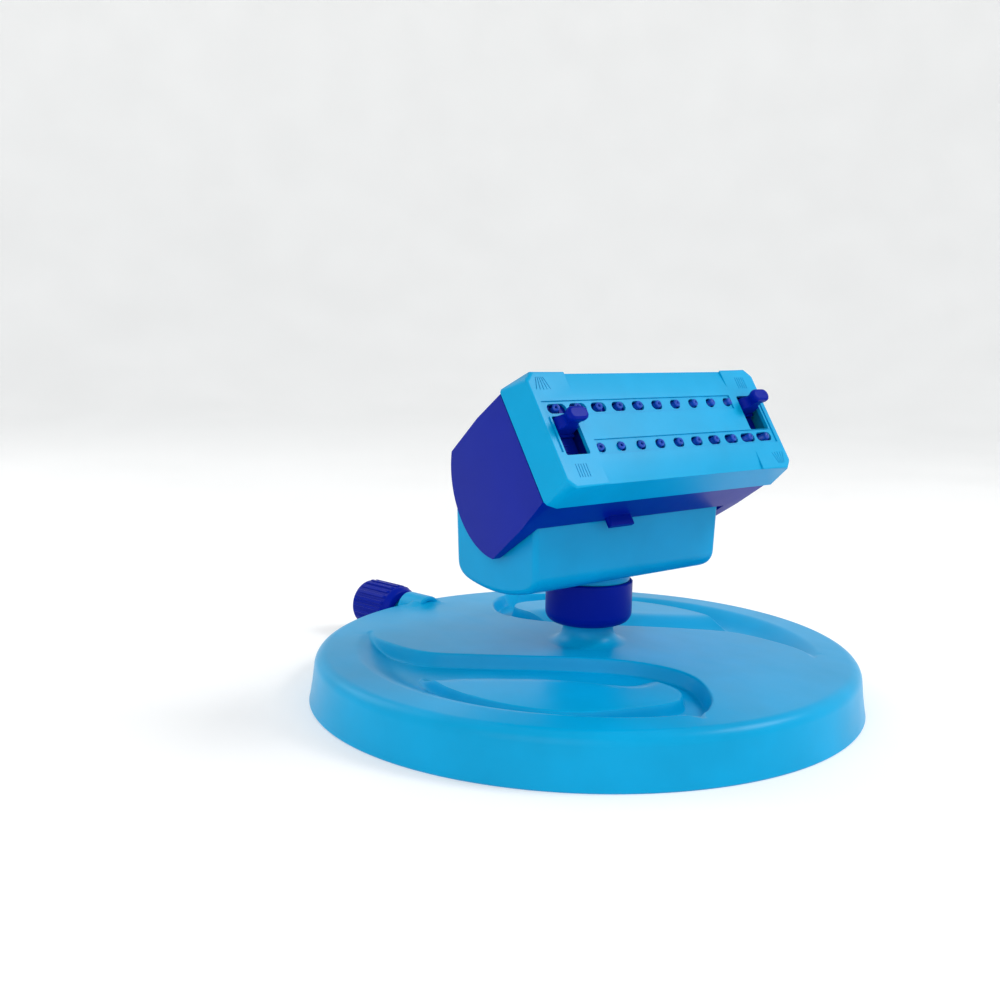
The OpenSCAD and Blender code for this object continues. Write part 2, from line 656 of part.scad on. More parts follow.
module end_trapezoid(inset) rotate([90, 0, 0]) translate([0, 0, -50]) linear_extrude(100) polygon([
    [head_half_l - inset, seam_z + 1], [-head_half_l + inset, seam_z + 1],
    [-head_half_l + inset + (seam_z + 50) * end_slope, -50],
    [head_half_l - inset - (seam_z + 50) * end_slope, -50]]);
module cheek_outline(inset) {
    translate([inset - head_half_w, cheek_arc_z]) square([2 * (head_half_w - inset), seam_z - cheek_arc_z]);
    intersection() {
        translate([inset - head_half_w, -60]) square([2 * (head_half_w - inset), cheek_arc_z + 61]);
        translate([0, cheek_arc_z]) circle(cheek_arc_r - inset, $fn = 180);
    }
}
module belly(r, x0, x1) along_x(x0, x1) {
    circle(r);
    translate([-r, 0]) square([2 * r, shelf_z + head_wall + 0.6]);
}
module head_solid(inset, top) intersection() {
    union() {
        along_x(-head_half_l, head_half_l) translate([inset - head_half_w, shelf_z + inset])
            square([2 * (head_half_w - inset), top - shelf_z - inset]);
        both_ends() along_x(cheek_x + inset, head_half_l) cheek_outline(inset);
    }
    end_trapezoid(inset);
    translate([0, 0, -60]) linear_extrude(200)
        polygon(octagon(head_half_l - inset, head_half_w - inset, 6, 2.6));
}
module head_screw_posts(r, z0, z1) for (x = [-1, 1], y = [-1, 1])
    tube_z(r, z0, z1, x * head_screw_x, y * head_screw_y);
module head_housing() color(dark_blue) in_head() difference() {
    union() {
        difference() {
            union() {
                head_solid(0, seam_z);
                belly(belly_r, belly_x0, belly_x1);
            }
            head_solid(head_wall, seam_z + 1);
            belly(belly_r - 2, belly_x0 + 2.4, belly_x1 - 2.4);
            block(-head_half_l, head_half_l, head_wall - head_half_w, head_half_w - head_wall,
                seam_z - 1, seam_z + 5);
        }
        tube_x(trunnion_r + 4, -cheek_bore_x, -cheek_x, 0, 0);
        tube_x(pin_r + 4, cheek_x, cheek_bore_x, 0, 0);
        head_screw_posts(boss_r, shelf_z, seam_z);
        finger_tab();
    }
    tube_x(trunnion_r + turn_gap, -cheek_bore_x, belly_x0 + 5, 0, 0);
    tube_x(pin_r + turn_gap, cheek_x - 1, cheek_bore_x, 0, 0);
    head_screw_posts(screw_hole_r, shelf_z, seam_z + 1);
    head_screw_posts(screw_head_r + 0.4, shelf_z - 1, head_screw_seat);
}
module finger_tab() intersection() {
    translate([tab_x, -head_half_w - tab_out, tab_z]) rotate([-90, 0, 0]) linear_extrude(tab_out + 1)
        polygon(rounded_plan(tab_w / 2, tab_t / 2, tab_t / 2 - 0.4));
    rotate([0, 90, 0]) translate([0, 0, tab_x - tab_w / 2]) linear_extrude(tab_w)
        polygon([[-tab_z - 3, -head_half_w], [-tab_z + 3, -head_half_w],
            [-tab_z + 1.5, -head_half_w - tab_out], [-tab_z - 1.5, -head_half_w - tab_out]]);
}

function slot_len(k) = 6.4 + 7.6 * pow((nozzle_count - 1 - k) / (nozzle_count - 1), 1.6);
function nozzle_x(k) = -row_end_x + k * nozzle_pitch;
module slot(x, len, w, z0, z1) {
    block(x - (len - w) / 2, x + (len - w) / 2, row_y - w / 2, row_y + w / 2, z0, z1);
    for (s = [-1, 1]) tube_z(w / 2, z0, z1, x + s * (len - w) / 2, row_y);
}
module cover_block(inset, z0, z1) hull() {
    translate([0, 0, z0]) linear_extrude(eps)
        polygon(octagon(head_half_l - inset, cover_half_w - inset, 7.2, 3));
    translate([0, 0, z1 - eps]) linear_extrude(eps)
        polygon(octagon(cover_top_l - inset, cover_top_w - inset, 5.4, 5.4));
}
// one L-shaped shallow band along the back row and round the left window
module cover_band() {
    z = cover_top - band_depth;
    block(-91, 64, 7.6, 17, z, cover_top + 1);
    block(-91, -89.2, -14, 8, z, cover_top + 1);
}
// straight jets and fanned jets beside the sliders
module jets(x, y, fan, n = 5) for (i = [0:n - 1]) translate([x + (i - (n - 1) / 2) * 1.9, y, cover_top - 0.5])
    rotate([0, 0, fan * (i - (n - 1) / 2)]) translate([-0.25, -4, 0]) cube([0.5, 8, 2]);
// sloping cut in the back margin of the cover
module margin_cut() translate([0, cover_top_w, cover_top]) along_x(-66, 66)
    polygon([[-13.6, 0.01], [6, -2.9], [6, 3], [-13.6, 3]]);
module top_cover() color(light_blue) in_head() difference() {
    union() {
        difference() {
            cover_block(0, seam_z, cover_top);
            cover_block(cover_side, seam_z - 1, skin_z);
        }
        head_screw_posts(boss_r, seam_z, skin_z + 0.5);
    }
    head_screw_posts(pilot_r, seam_z - 1, seam_z + 12);
    both_ends() {
        for (k = [0:nozzle_count - 1]) slot(nozzle_x(k), slot_len(k), slot_w, skin_z - 1, cover_top + 1);
        translate([0, 0, skin_z - 1]) linear_extrude(head_wall + 2) polygon(rounded_window());
        cover_band();
        jets(-85.5, 28, 9);
        jets(-81, -25.5, 0);
        margin_cut();
    }
}
function rounded_window() = [for (p = rounded_plan(window_w / 2, window_l / 2, 1.2))
    p + [-window_x, window_back - window_l / 2]];
module cover_screws() color(steel) in_head() for (x = [-1, 1], y = [-1, 1])
    translate([x * head_screw_x, y * head_screw_y, head_screw_seat - screw_head_h]) screw(18);

// plan of the water chamber: two rows joined in the middle
module chamber_plan(grow) {
    square([2 * (chamber_mid_l + grow), 2 * (chamber_half_w + grow)], center = true);
    for (s = [0, 180]) rotate(s) translate([-chamber_end_l - grow, chamber_end_y - grow])
        square([chamber_end_l, chamber_half_w - chamber_end_y + 2 * grow]);
}
module water_chamber() color(white_plastic) in_head() difference() {
    union() {
        translate([0, 0, chamber_z0]) linear_extrude(chamber_top - chamber_z0) chamber_plan(0);
        tube_z(leg_r, -10, chamber_z0, leg_x);
    }
    translate([0, 0, chamber_z0 + 2]) linear_extrude(chamber_top) chamber_plan(-2);
    tube_z(leg_r - 2.5, -7.5, chamber_z0 + 3, leg_x);
    tube_x(trunnion_r + turn_gap, belly_x0, trunnion_in + 0.5, 0, 0);
    head_screw_posts(boss_r + loose_gap, 0, 90);
}
module chamber_lid() color(white_plastic) in_head() difference() {
    translate([0, 0, chamber_top]) linear_extrude(lid_t) chamber_plan(0);
    both_ends() for (k = [0:nozzle_count - 1]) tube_z(1.6, chamber_top - 1, strip_z0 + 1, nozzle_x(k), row_y);
    head_screw_posts(boss_r + loose_gap, 0, 90);
}
module nozzle_strip() difference() {
    union() {
        block(-row_end_x - 5, row_end_x - 21, row_y - 3, row_y + 4, strip_z0, strip_z0 + strip_t);
        for (k = [0:nozzle_count - 1]) translate([nozzle_x(k), row_y, strip_z0 + 1])
            cylinder(r1 = 2.7, r2 = 1.9, h = tip_z - strip_z0 - 1, $fn = 32);
    }
    for (k = [0:nozzle_count - 1]) tube_z(0.7, strip_z0 - 1, cover_top, nozzle_x(k), row_y);
}
module nozzle_strip_back() color(rubber_blue) in_head() nozzle_strip();
module nozzle_strip_front() color(rubber_blue) in_head() rotate([0, 0, 180]) nozzle_strip();
module comb() difference() {
    block(-row_end_x - 8, row_end_x - 14, row_y - 3.2, row_y + 5.5, comb_z0, comb_z0 + comb_t);
    for (k = [0:nozzle_count - 1]) translate([comb_travel / 2, 0, 0])
        slot(nozzle_x(k), 5.8 + comb_travel, 5.6, comb_z0 - 1, comb_z0 + comb_t + 1);
}
module back_comb() color(dark_blue) in_head() translate([-comb_travel, 0, 0]) comb();
// the front row is at the other end of its travel, as its slider is
module front_comb() color(dark_blue) in_head() rotate([0, 0, 180]) comb();
module slide_plate() {
    block(-window_x - 10, -window_x + 10, -18, chamber_end_y - 0.6,
        slide_floor_z - slide_plate_t, slide_floor_z);
    for (y = [-13, -9.5, -6]) block(-window_x - 4, -window_x + 4, y - 0.4, y + 0.4, slide_floor_z,
        slide_floor_z + 0.6);
}
module slide_plate_left() color(dark_blue) in_head() slide_plate();
module slide_plate_right() color(dark_blue) in_head() rotate([0, 0, 180]) slide_plate();
module slider() {
    cx = -window_x;
    block(cx - 9.6, cx + 9.6, slider_back - knob_l - 1.5, slider_back + 0.8, slider_foot_z0,
        slider_foot_z0 + slider_foot_t);
    block(cx - 7.6, cx + 7.6, slider_back - knob_l, slider_back,
        slider_foot_z0 + slider_foot_t, cover_top + 1);
    translate([cx, slider_back - knob_l / 2, cover_top + 1]) linear_extrude(knob_h - 5.5)
        polygon(rounded_plan(4.2, knob_l / 2 - 0.8, 1.5));
    translate([cx, slider_back - knob_l / 2, cover_top + knob_h - 4.5]) linear_extrude(4.5)
        polygon(rounded_plan(knob_w / 2, knob_l / 2, 2.5));
}
module left_slider() color(dark_blue) in_head() slider();
module right_slider() color(dark_blue) in_head() translate([0, slider_travel, 0]) rotate([0, 0, 180])
    slider();

// the tooth that meets the pinion at rest lies straight below the pivot, so it is turned back by the tilt
sector_step = 360 / sector_teeth;
module sector_gear() color(white_plastic) in_head() difference() {
    along_x(sector_x0, sector_x0 + sector_t) {
        polygon(concat([[0, 0]], [for (i = [-1:21], q = tooth(sector_r, sector_module, sector_step,
            -90 - rest_tilt + i * sector_step)) q]));
        circle(8);
        translate([-9, 0]) square([18, shelf_z]);
    }
    tube_x(pin_r, sector_x0 - 1, sector_x0 + sector_t + 1, 0, 0);
}
module trunnion_seal() color(black_rubber) in_head() translate([belly_x0 + 3.95, 0, 0]) rotate([0, 90, 0])
    o_ring(trunnion_r + 2, 1.5);

base_shell();
centre_post();
base_plate();
base_screws();
riser_tee();
inlet_pipe();
hose_washer();
filter_screen();
swivel_bush();
swivel_seal();
retainer_ring();
coupling_nut();
swivel_collar();
swivel_tube();
trough();
trough_screws();
feed_manifold();
feed_tube();
turbine_housing();
return_tube();
water_trunnion();
pivot_pin();
gear_plate_left();
gear_plate_right();
head_housing();
top_cover();
cover_screws();
water_chamber();
chamber_lid();
nozzle_strip_back();
nozzle_strip_front();
slide_plate_left();
slide_plate_right();
sector_gear();
trunnion_seal();
left_slider();
right_slider();
back_comb();
front_comb();
output_gear();
output_shaft();
reduction_gear();
reduction_shaft();
turbine_pinion();
turbine_wheel();
turbine_shaft();
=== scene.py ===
# %% [markdown]
# # Oscillating lawn sprinkler
# The sprinkler has a wide round base, a post that a turret turns on, and a rocking head with two rows
# of rubber nozzles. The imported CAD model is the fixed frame: it says where every piece is and what moves
# with what. This script gives those pieces their finished surfaces, cell by cell.

# %% Load the frame
import math

import bmesh
import bpy
import numpy as np
from mathutils import Matrix, Vector
from mathutils.geometry import delaunay_2d_cdt
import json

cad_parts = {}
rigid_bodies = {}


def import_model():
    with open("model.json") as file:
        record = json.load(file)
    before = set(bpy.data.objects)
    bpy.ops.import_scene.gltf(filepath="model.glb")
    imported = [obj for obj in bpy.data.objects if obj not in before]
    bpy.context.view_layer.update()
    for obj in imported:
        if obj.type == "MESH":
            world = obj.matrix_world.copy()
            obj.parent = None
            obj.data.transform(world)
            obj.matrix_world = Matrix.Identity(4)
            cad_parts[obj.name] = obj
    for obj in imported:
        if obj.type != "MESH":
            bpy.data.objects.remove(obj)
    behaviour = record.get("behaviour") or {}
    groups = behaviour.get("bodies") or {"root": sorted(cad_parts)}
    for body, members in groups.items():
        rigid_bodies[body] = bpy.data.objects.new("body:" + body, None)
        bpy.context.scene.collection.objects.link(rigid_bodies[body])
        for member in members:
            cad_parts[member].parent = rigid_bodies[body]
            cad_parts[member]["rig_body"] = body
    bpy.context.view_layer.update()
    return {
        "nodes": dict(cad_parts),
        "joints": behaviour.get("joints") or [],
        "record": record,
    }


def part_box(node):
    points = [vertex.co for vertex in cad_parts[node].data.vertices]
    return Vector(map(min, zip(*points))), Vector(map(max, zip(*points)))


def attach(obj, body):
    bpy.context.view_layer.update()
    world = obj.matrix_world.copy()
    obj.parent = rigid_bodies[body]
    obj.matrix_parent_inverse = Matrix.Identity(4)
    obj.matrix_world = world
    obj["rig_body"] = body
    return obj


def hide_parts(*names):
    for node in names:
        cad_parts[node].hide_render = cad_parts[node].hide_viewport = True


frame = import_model()
nodes = frame["nodes"]
joints = {joint["name"]: joint for joint in frame["joints"]}
MM = 0.001

# %% [markdown]
# The head is modelled as if it lay level with its pivot at the origin, and is then tilted to where it
# rests. The tilt is read off the direction in which the pattern sliders travel, so it can't disagree
# with the frame.

# %% Head frame
slide_axis = Vector(joints["left_pattern_slide"]["axis"])
tilt = math.atan2(-slide_axis.z, -slide_axis.y)
pivot = Vector(joints["head_swing"]["pos_m"])
head_place = Matrix.Translation(pivot) @ Matrix.Rotation(tilt, 4, "X")
inlet_axis = Vector(joints["coupling_spin"]["axis"])
inlet_z = joints["coupling_spin"]["pos_m"][2]
inlet_turn = math.atan2(inlet_axis.y, inlet_axis.x)
# local Z of this matrix runs out along the hose inlet
inlet_place = Matrix.Translation((0, 0, inlet_z)) @ Matrix.Rotation(inlet_turn, 4, "Z") \
    @ Matrix.Rotation(math.pi / 2, 4, "Y")
print("head tilt", round(math.degrees(tilt), 2), "inlet turned by", round(math.degrees(inlet_turn), 1))

# %% [markdown]
# The camera and the studio come first. The camera stands to the front left, a little above the head,
# as a person kneeling on the lawn would look at it.

# %% Camera
cam_data = bpy.data.cameras.new("camera")
cam = bpy.data.objects.new("camera", cam_data)
bpy.context.scene.collection.objects.link(cam)
bpy.context.scene.camera = cam
cam_at = Vector((-0.5198, -0.5356, 0.2308))
cam_right = Vector((0.7416, -0.6704, 0.0236))
cam_up = Vector((0.1074, 0.1534, 0.9823))
cam_back = cam_right.cross(cam_up)
cam.matrix_world = Matrix((cam_right, cam_up, cam_back)).transposed().to_4x4()
cam.location = cam_at
cam_data.lens = 43.34
cam_data.shift_x = -0.0534
cam_data.shift_y = 0.0531
cam_data.clip_start = 0.01

# %% Floor and light
def add_light(name, at, target, size, power):
    data = bpy.data.lights.new(name, "AREA")
    data.size = size
    data.energy = power
    lamp = bpy.data.objects.new(name, data)
    lamp.location = at
    lamp.rotation_euler = (Vector(target) - Vector(at)).to_track_quat("-Z", "Y").to_euler()
    bpy.context.scene.collection.objects.link(lamp)


def on_circle(r, z, k, count):
    # point k of count points spread evenly round the Z axis
    turn = 2 * math.pi * k / count
    return (r * math.cos(turn), r * math.sin(turn), z)


add_light("key", (0.85, -0.8, 1.25), (0, 0, 0.08), 0.55, 12)
add_light("fill", (-1.3, -0.7, 0.9), (0, 0, 0.1), 1.1, 5)
add_light("back", (-0.5, 1.3, 1.1), (0, 0, 0.1), 0.9, 5)

world = bpy.data.worlds.new("studio")
bpy.context.scene.world = world
world.use_nodes = True
world.node_tree.nodes["Background"].inputs["Color"].default_value = (0.93, 0.96, 1.0, 1)
world.node_tree.nodes["Background"].inputs["Strength"].default_value = 0.55
bpy.context.scene.view_settings.view_transform = "Standard"

# a round floor that curves up into a wall, so no horizon cuts across the picture
floor_r, sweep_r, wall_top = 2.2, 1.2, 2.6
floor_line = [(0.0, 0.0), (0.6, 0.0), (floor_r, 0.0)]
floor_line += [(floor_r + sweep_r * math.sin(a), sweep_r * (1 - math.cos(a)))
               for a in np.radians(np.linspace(7.5, 90, 12))]
floor_line.append((floor_r + sweep_r, wall_top))
floor_mesh = bpy.data.meshes.new("floor")
floor_turns = 96
floor_verts = [on_circle(r, z, k, floor_turns) for r, z in floor_line[1:] for k in range(floor_turns)]
floor_faces = [tuple(range(floor_turns))]
for level in range(len(floor_line) - 2):
    for k in range(floor_turns):
        here, following = level * floor_turns + k, level * floor_turns + (k + 1) % floor_turns
        floor_faces.append((here, here + floor_turns, following + floor_turns, following))
floor_mesh.from_pydata(floor_verts, [], floor_faces)
floor_mesh.shade_smooth()
floor = bpy.data.objects.new("floor", floor_mesh)
bpy.context.scene.collection.objects.link(floor)

# %% [markdown]
# ## Finishes
# Every finish is a small node tree on Object coordinates. Moulded polypropylene has a soft gloss, a fine
# grain from the mould, faint clouding where the colour isn't quite even, and dull scuffs. One function
# makes all the plastics, because they differ only in colour, gloss and how coarse the grain is.

# %% Material helpers
def new_material(name):
    mat = bpy.data.materials.new(name)
    mat.use_nodes = True
    tree = mat.node_tree
    return mat, tree, tree.nodes["Principled BSDF"]


def add_noise(tree, scale, detail, stretch=None):
    coords = tree.nodes.new("ShaderNodeTexCoord")
    noise = tree.nodes.new("ShaderNodeTexNoise")
    noise.inputs["Scale"].default_value = scale
    noise.inputs["Detail"].default_value = detail
    if stretch is None:
        tree.links.new(coords.outputs["Object"], noise.inputs["Vector"])
        return noise
    mapping = tree.nodes.new("ShaderNodeMapping")
    mapping.inputs["Scale"].default_value = stretch
    tree.links.new(coords.outputs["Object"], mapping.inputs["Vector"])
    tree.links.new(mapping.outputs["Vector"], noise.inputs["Vector"])
    return noise


def add_ramp(tree, source, stops):
    ramp = tree.nodes.new("ShaderNodeValToRGB")
    ramp.color_ramp.elements[0].position = stops[0][0]
    ramp.color_ramp.elements[0].color = stops[0][1]
    ramp.color_ramp.elements[1].position = stops[-1][0]
    ramp.color_ramp.elements[1].color = stops[-1][1]
    for position, colour in stops[1:-1]:
        ramp.color_ramp.elements.new(position).color = colour
    tree.links.new(source, ramp.inputs["Fac"])
    return ramp.outputs["Color"]


def grey(value):
    return (value, value, value, 1)


def shade(colour, factor):
    return tuple(min(1.0, c * factor) for c in colour) + (1,)


def add_bump(tree, shader, height, strength, distance, normal=None):
    bump = tree.nodes.new("ShaderNodeBump")
    bump.inputs["Strength"].default_value = strength
    bump.inputs["Distance"].default_value = distance
    tree.links.new(height, bump.inputs["Height"])
    if normal is not None:
        tree.links.new(normal, bump.inputs["Normal"])
    tree.links.new(bump.outputs["Normal"], shader.inputs["Normal"])
    return bump.outputs["Normal"]


# %% Moulded plastic
def moulded_plastic(name, colour, gloss=0.3, grain=1500, scuffs=0.12, shine=0.12):
    mat, tree, shader = new_material(name)
    clouds = add_noise(tree, 22, 3)
    tint = add_ramp(tree, clouds.outputs["Fac"], [
        (0.32, shade(colour, 0.93)), (0.68, shade(colour, 1.05))])
    tree.links.new(tint, shader.inputs["Base Color"])
    wear = add_noise(tree, 65, 8, stretch=(1.0, 0.35, 1.0))
    rough = add_ramp(tree, wear.outputs["Fac"], [
        (0.42, grey(gloss)), (0.60, grey(gloss + scuffs * 0.35)), (0.80, grey(gloss + scuffs))])
    tree.links.new(rough, shader.inputs["Roughness"])
    fine = add_noise(tree, grain, 2)
    mould = add_bump(tree, shader, fine.outputs["Fac"], 0.06, 0.0001)
    waves = add_noise(tree, 24, 1)
    add_bump(tree, shader, waves.outputs["Fac"], 0.02, 0.0006, mould)
    shader.inputs["IOR"].default_value = 1.49
    shader.inputs["Specular IOR Level"].default_value = shine
    return mat


def soft_rubber(name, colour, rough=0.55):
    mat, tree, shader = new_material(name)
    dust = add_noise(tree, 180, 5)
    tint = add_ramp(tree, dust.outputs["Fac"], [(0.4, shade(colour, 0.85)), (0.75, shade(colour, 1.25))])
    tree.links.new(tint, shader.inputs["Base Color"])
    tone = add_ramp(tree, dust.outputs["Fac"], [(0.3, grey(rough - 0.08)), (0.7, grey(rough + 0.1))])
    tree.links.new(tone, shader.inputs["Roughness"])
    skin = add_noise(tree, 3500, 2)
    add_bump(tree, shader, skin.outputs["Fac"], 0.3, 0.0001)
    return mat


def turned_steel(name, colour=(0.62, 0.63, 0.65)):
    mat, tree, shader = new_material(name)
    shader.inputs["Metallic"].default_value = 1.0
    marks = add_noise(tree, 420, 6, stretch=(1, 1, 9))
    tint = add_ramp(tree, marks.outputs["Fac"], [(0.3, shade(colour, 0.85)), (0.7, shade(colour, 1.1))])
    tree.links.new(tint, shader.inputs["Base Color"])
    tone = add_ramp(tree, marks.outputs["Fac"], [(0.35, grey(0.22)), (0.7, grey(0.42))])
    tree.links.new(tone, shader.inputs["Roughness"])
    add_bump(tree, shader, marks.outputs["Fac"], 0.15, 0.0001)
    return mat


light_blue = moulded_plastic("light_blue_moulding", (0.0, 0.35, 0.66), gloss=0.30, scuffs=0.06)
dark_blue = moulded_plastic("dark_blue_moulding", (0.0, 0.012, 0.30), gloss=0.32, scuffs=0.04,
                            shine=0.06)
white_resin = moulded_plastic("white_resin", (0.78, 0.78, 0.75), gloss=0.42, grain=3200, scuffs=0.1)
nozzle_rubber = soft_rubber("nozzle_rubber", (0.0, 0.06, 0.46), rough=0.4)
black_rubber = soft_rubber("black_rubber", (0.015, 0.015, 0.016))
bright_steel = turned_steel("bright_steel")
slot_finish = {
    "light_blue_plastic": light_blue, "dark_blue_plastic": dark_blue, "nozzle_rubber": nozzle_rubber,
    "black_rubber": black_rubber, "steel": bright_steel, "acetal": white_resin}
node_slot = {part["node"]: part["material_slot"] for part in frame["record"]["subparts"]}
for name, node in nodes.items():
    node.data.materials.clear()
    node.data.materials.append(slot_finish[node_slot[name]])

floor_finish, floor_tree, floor_shader = new_material("pale_floor")
floor_shader.inputs["Roughness"].default_value = 0.75
# a little glow lifts the wall to the near white of the floor
floor_shader.inputs["Emission Color"].default_value = (1, 1, 1, 1)
floor_shader.inputs["Emission Strength"].default_value = 0.22
speckle = add_noise(floor_tree, 6, 3)
pale = add_ramp(floor_tree, speckle.outputs["Fac"], [
    (0.3, (0.80, 0.80, 0.79, 1)), (0.7, (0.84, 0.84, 0.83, 1))])
floor_tree.links.new(pale, floor_shader.inputs["Base Color"])
floor.data.materials.append(floor_finish)
print(len(nodes), "CAD nodes have a finish")

# %% [markdown]
# ## Ways of making a piece
# Three helpers do most of the work. `finish_piece` shades a mesh, hands it to its body and hides the CAD
# node that it stands for. `lathe` turns an outline about Z, for anything round. `soften` takes the exact
# CAD shape, merges its loose triangles into whole faces and rounds its sharp edges, for box-like
# mouldings.

# %% Piece helpers
def finish_piece(name, mesh, material, body, stands_for=(), smooth_below=38.0):
    piece = bpy.data.objects.new(name, mesh)
    bpy.context.scene.collection.objects.link(piece)
    mesh.materials.clear()
    mesh.materials.append(material)
    mesh.shade_smooth()
    mesh.set_sharp_from_angle(angle=math.radians(smooth_below))
    shading = piece.modifiers.new("even_shading", "WEIGHTED_NORMAL")
    shading.keep_sharp = True
    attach(piece, body)
    if stands_for:
        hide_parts(*stands_for)
    print(f"{name}: {len(mesh.polygons)} faces")
    return piece


def mesh_from(name, verts, faces, place=None):
    mesh = bpy.data.meshes.new(name)
    mesh.from_pydata([tuple(v) for v in verts], [], faces)
    if place is not None:
        mesh.transform(place)
    tidy_normals(mesh)
    return mesh


def tidy_normals(mesh, merge=1e-6):
    bm = bmesh.new()
    bm.from_mesh(mesh)
    bmesh.ops.remove_doubles(bm, verts=bm.verts, dist=merge)
    bmesh.ops.recalc_face_normals(bm, faces=bm.faces)
    bm.to_mesh(mesh)
    bm.free()


def lathe(name, outline, segments=128, place=None):
    # outline is a closed loop of (radius, height) in metres, turned about Z
    verts, faces, rows = [], [], len(outline)
    for step in range(segments):
        verts += [on_circle(r, z, step, segments) for r, z in outline]
    for step in range(segments):
        here, there = step * rows, ((step + 1) % segments) * rows
        for row in range(rows):
            up = (row + 1) % rows
            faces.append((here + row, there + row, there + up, here + up))
    return mesh_from(name, verts, faces, place)


def rounded(points, radius, steps=4):
    # a closed outline with every corner rounded
    result = []
    count = len(points)
    for index, corner in enumerate(points):
        corner = Vector(corner)
        back = Vector(points[index - 1]) - corner
        ahead = Vector(points[(index + 1) % count]) - corner
        size = min(radius, back.length * 0.45, ahead.length * 0.45)
        start, end = corner + back.normalized() * size, corner + ahead.normalized() * size
        for step in range(steps + 1):
            t = step / steps
            result.append(tuple(start.lerp(corner, t).lerp(corner.lerp(end, t), t)))
    return result


def soften(node_name, width, segments=3, sharp=28.0, flat=0.6):
    mesh = nodes[node_name].data.copy()
    bm = bmesh.new()
    bm.from_mesh(mesh)
    bmesh.ops.remove_doubles(bm, verts=bm.verts, dist=2e-6)
    bmesh.ops.dissolve_limit(bm, angle_limit=math.radians(flat), verts=bm.verts, edges=bm.edges)
    edges = [e for e in bm.edges if e.is_manifold and e.calc_face_angle(0) > math.radians(sharp)]
    bmesh.ops.bevel(bm, geom=edges, offset=width, offset_type="OFFSET", segments=segments, profile=0.5,
                    affect="EDGES", clamp_overlap=True, loop_slide=True)
    bmesh.ops.triangulate(bm, faces=[f for f in bm.faces if len(f.verts) > 4])
    bm.to_mesh(mesh)
    bm.free()
    return mesh


# %% [markdown]
# ## The base
# The top of the base is one flowing moulding: a shallow crown, a soft rim, two swooshes that sink into
# it and a leaf standing in each. Cutting such shapes with booleans leaves hard edges, so the top is built
# as a height field instead: the height at a point follows from its distance to the drawn curves. The mesh
# gets rows of points along each curve, where the surface bends, and few elsewhere.

# %% Curves on the base
base_r = (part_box("base_shell")[1].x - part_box("base_shell")[0].x) / 2
rim_h = 0.0305
crown_rise = 0.0035
rim_r = base_r - 0.012
rim_round = 0.0085
recess_r = base_r - 0.0276
recess_depth = 0.0085
leaf_depth = 0.0012
ramp_wide, ramp_steep = 0.024, 0.007
swoosh_points = [(-92, 109), (-101, 88), (-98, 45), (-76, 15), (-36, -25.5), (-12, -57), (-6, -91),
                 (-25, -123), (-46, -138)]
leaf_points = [(-118, 18), (-127, -20), (-119, -64), (-95, -98), (-51, -116), (-31, -110), (-25.5, -90),
               (-32, -64), (-54, -33), (-90, 1), (-110, 14)]


def through(points, step, closed=False):
    # a smooth curve through the points, sampled at about the given step
    pts = np.array(points, float) * MM
    count = len(pts)
    line = []
    for i in range(count if closed else count - 1):
        if closed:
            p0, p1, p2, p3 = (pts[(i + k) % count] for k in (-1, 0, 1, 2))
        else:
            p0, p1, p2, p3 = (pts[min(max(i + k, 0), count - 1)] for k in (-1, 0, 1, 2))
        pieces = max(2, int(np.linalg.norm(p2 - p1) / step))
        for t in np.arange(pieces) / pieces:
            line.append(0.5 * (2 * p1 + (p2 - p0) * t + (2 * p0 - 5 * p1 + 4 * p2 - p3) * t ** 2
                               + (3 * p1 - p0 - 3 * p2 + p3) * t ** 3))
    if not closed:
        line.append(pts[-1])
    return np.array(line)


curve_step = 0.0015
arc_turns = np.radians(np.linspace(247, 134, 110))
rim_arc = np.stack([recess_r * np.cos(arc_turns), recess_r * np.sin(arc_turns)], 1)
swoosh = np.concatenate([through(swoosh_points, curve_step), rim_arc])
leaf = through(leaf_points, curve_step, closed=True)
swooshes = [swoosh, -swoosh]
leaves = [leaf, -leaf]
leaf_inner = through(leaf_points[7:], 0.003)
leaf_slope = 0.026


def signed_distance(points, loop):
    # distance to a closed line, negative inside it
    a, b = loop, np.roll(loop, -1, 0)
    best = np.full(len(points), 1e9)
    inside = np.zeros(len(points), bool)
    for (ax, ay), (bx, by) in zip(a, b):
        dx, dy = bx - ax, by - ay
        along = (points[:, 0] - ax) * dx + (points[:, 1] - ay) * dy
        t = np.clip(along / (dx * dx + dy * dy + 1e-18), 0, 1)
        best = np.minimum(best, np.hypot(points[:, 0] - ax - t * dx, points[:, 1] - ay - t * dy))
        crosses = (ay > points[:, 1]) != (by > points[:, 1])
        if dy != 0:
            inside ^= crosses & (points[:, 0] < ax + dx * (points[:, 1] - ay) / dy)
    return np.where(inside, -best, best)


def line_distance(points, line):
    # distance to the nearest point of a densely sampled line
    return np.sqrt(((points[:, None, :] - line[None, :, :]) ** 2).sum(2)).min(1)


def ease(t):
    t = np.clip(t, 0, 1)
    return t * t * (3 - 2 * t)


# %% Height of the base's top
hump_r = 0.011
hump_z = inlet_z + 0.0045
hump_start = base_r - 0.026
hump_end = base_r - 0.003
inlet_dir = np.array([math.cos(inlet_turn), math.sin(inlet_turn)])
inlet_side = np.array([-inlet_dir[1], inlet_dir[0]])


def crown(points):
    return rim_h + crown_rise * (1 - (np.hypot(points[:, 0], points[:, 1]) / rim_r) ** 2)


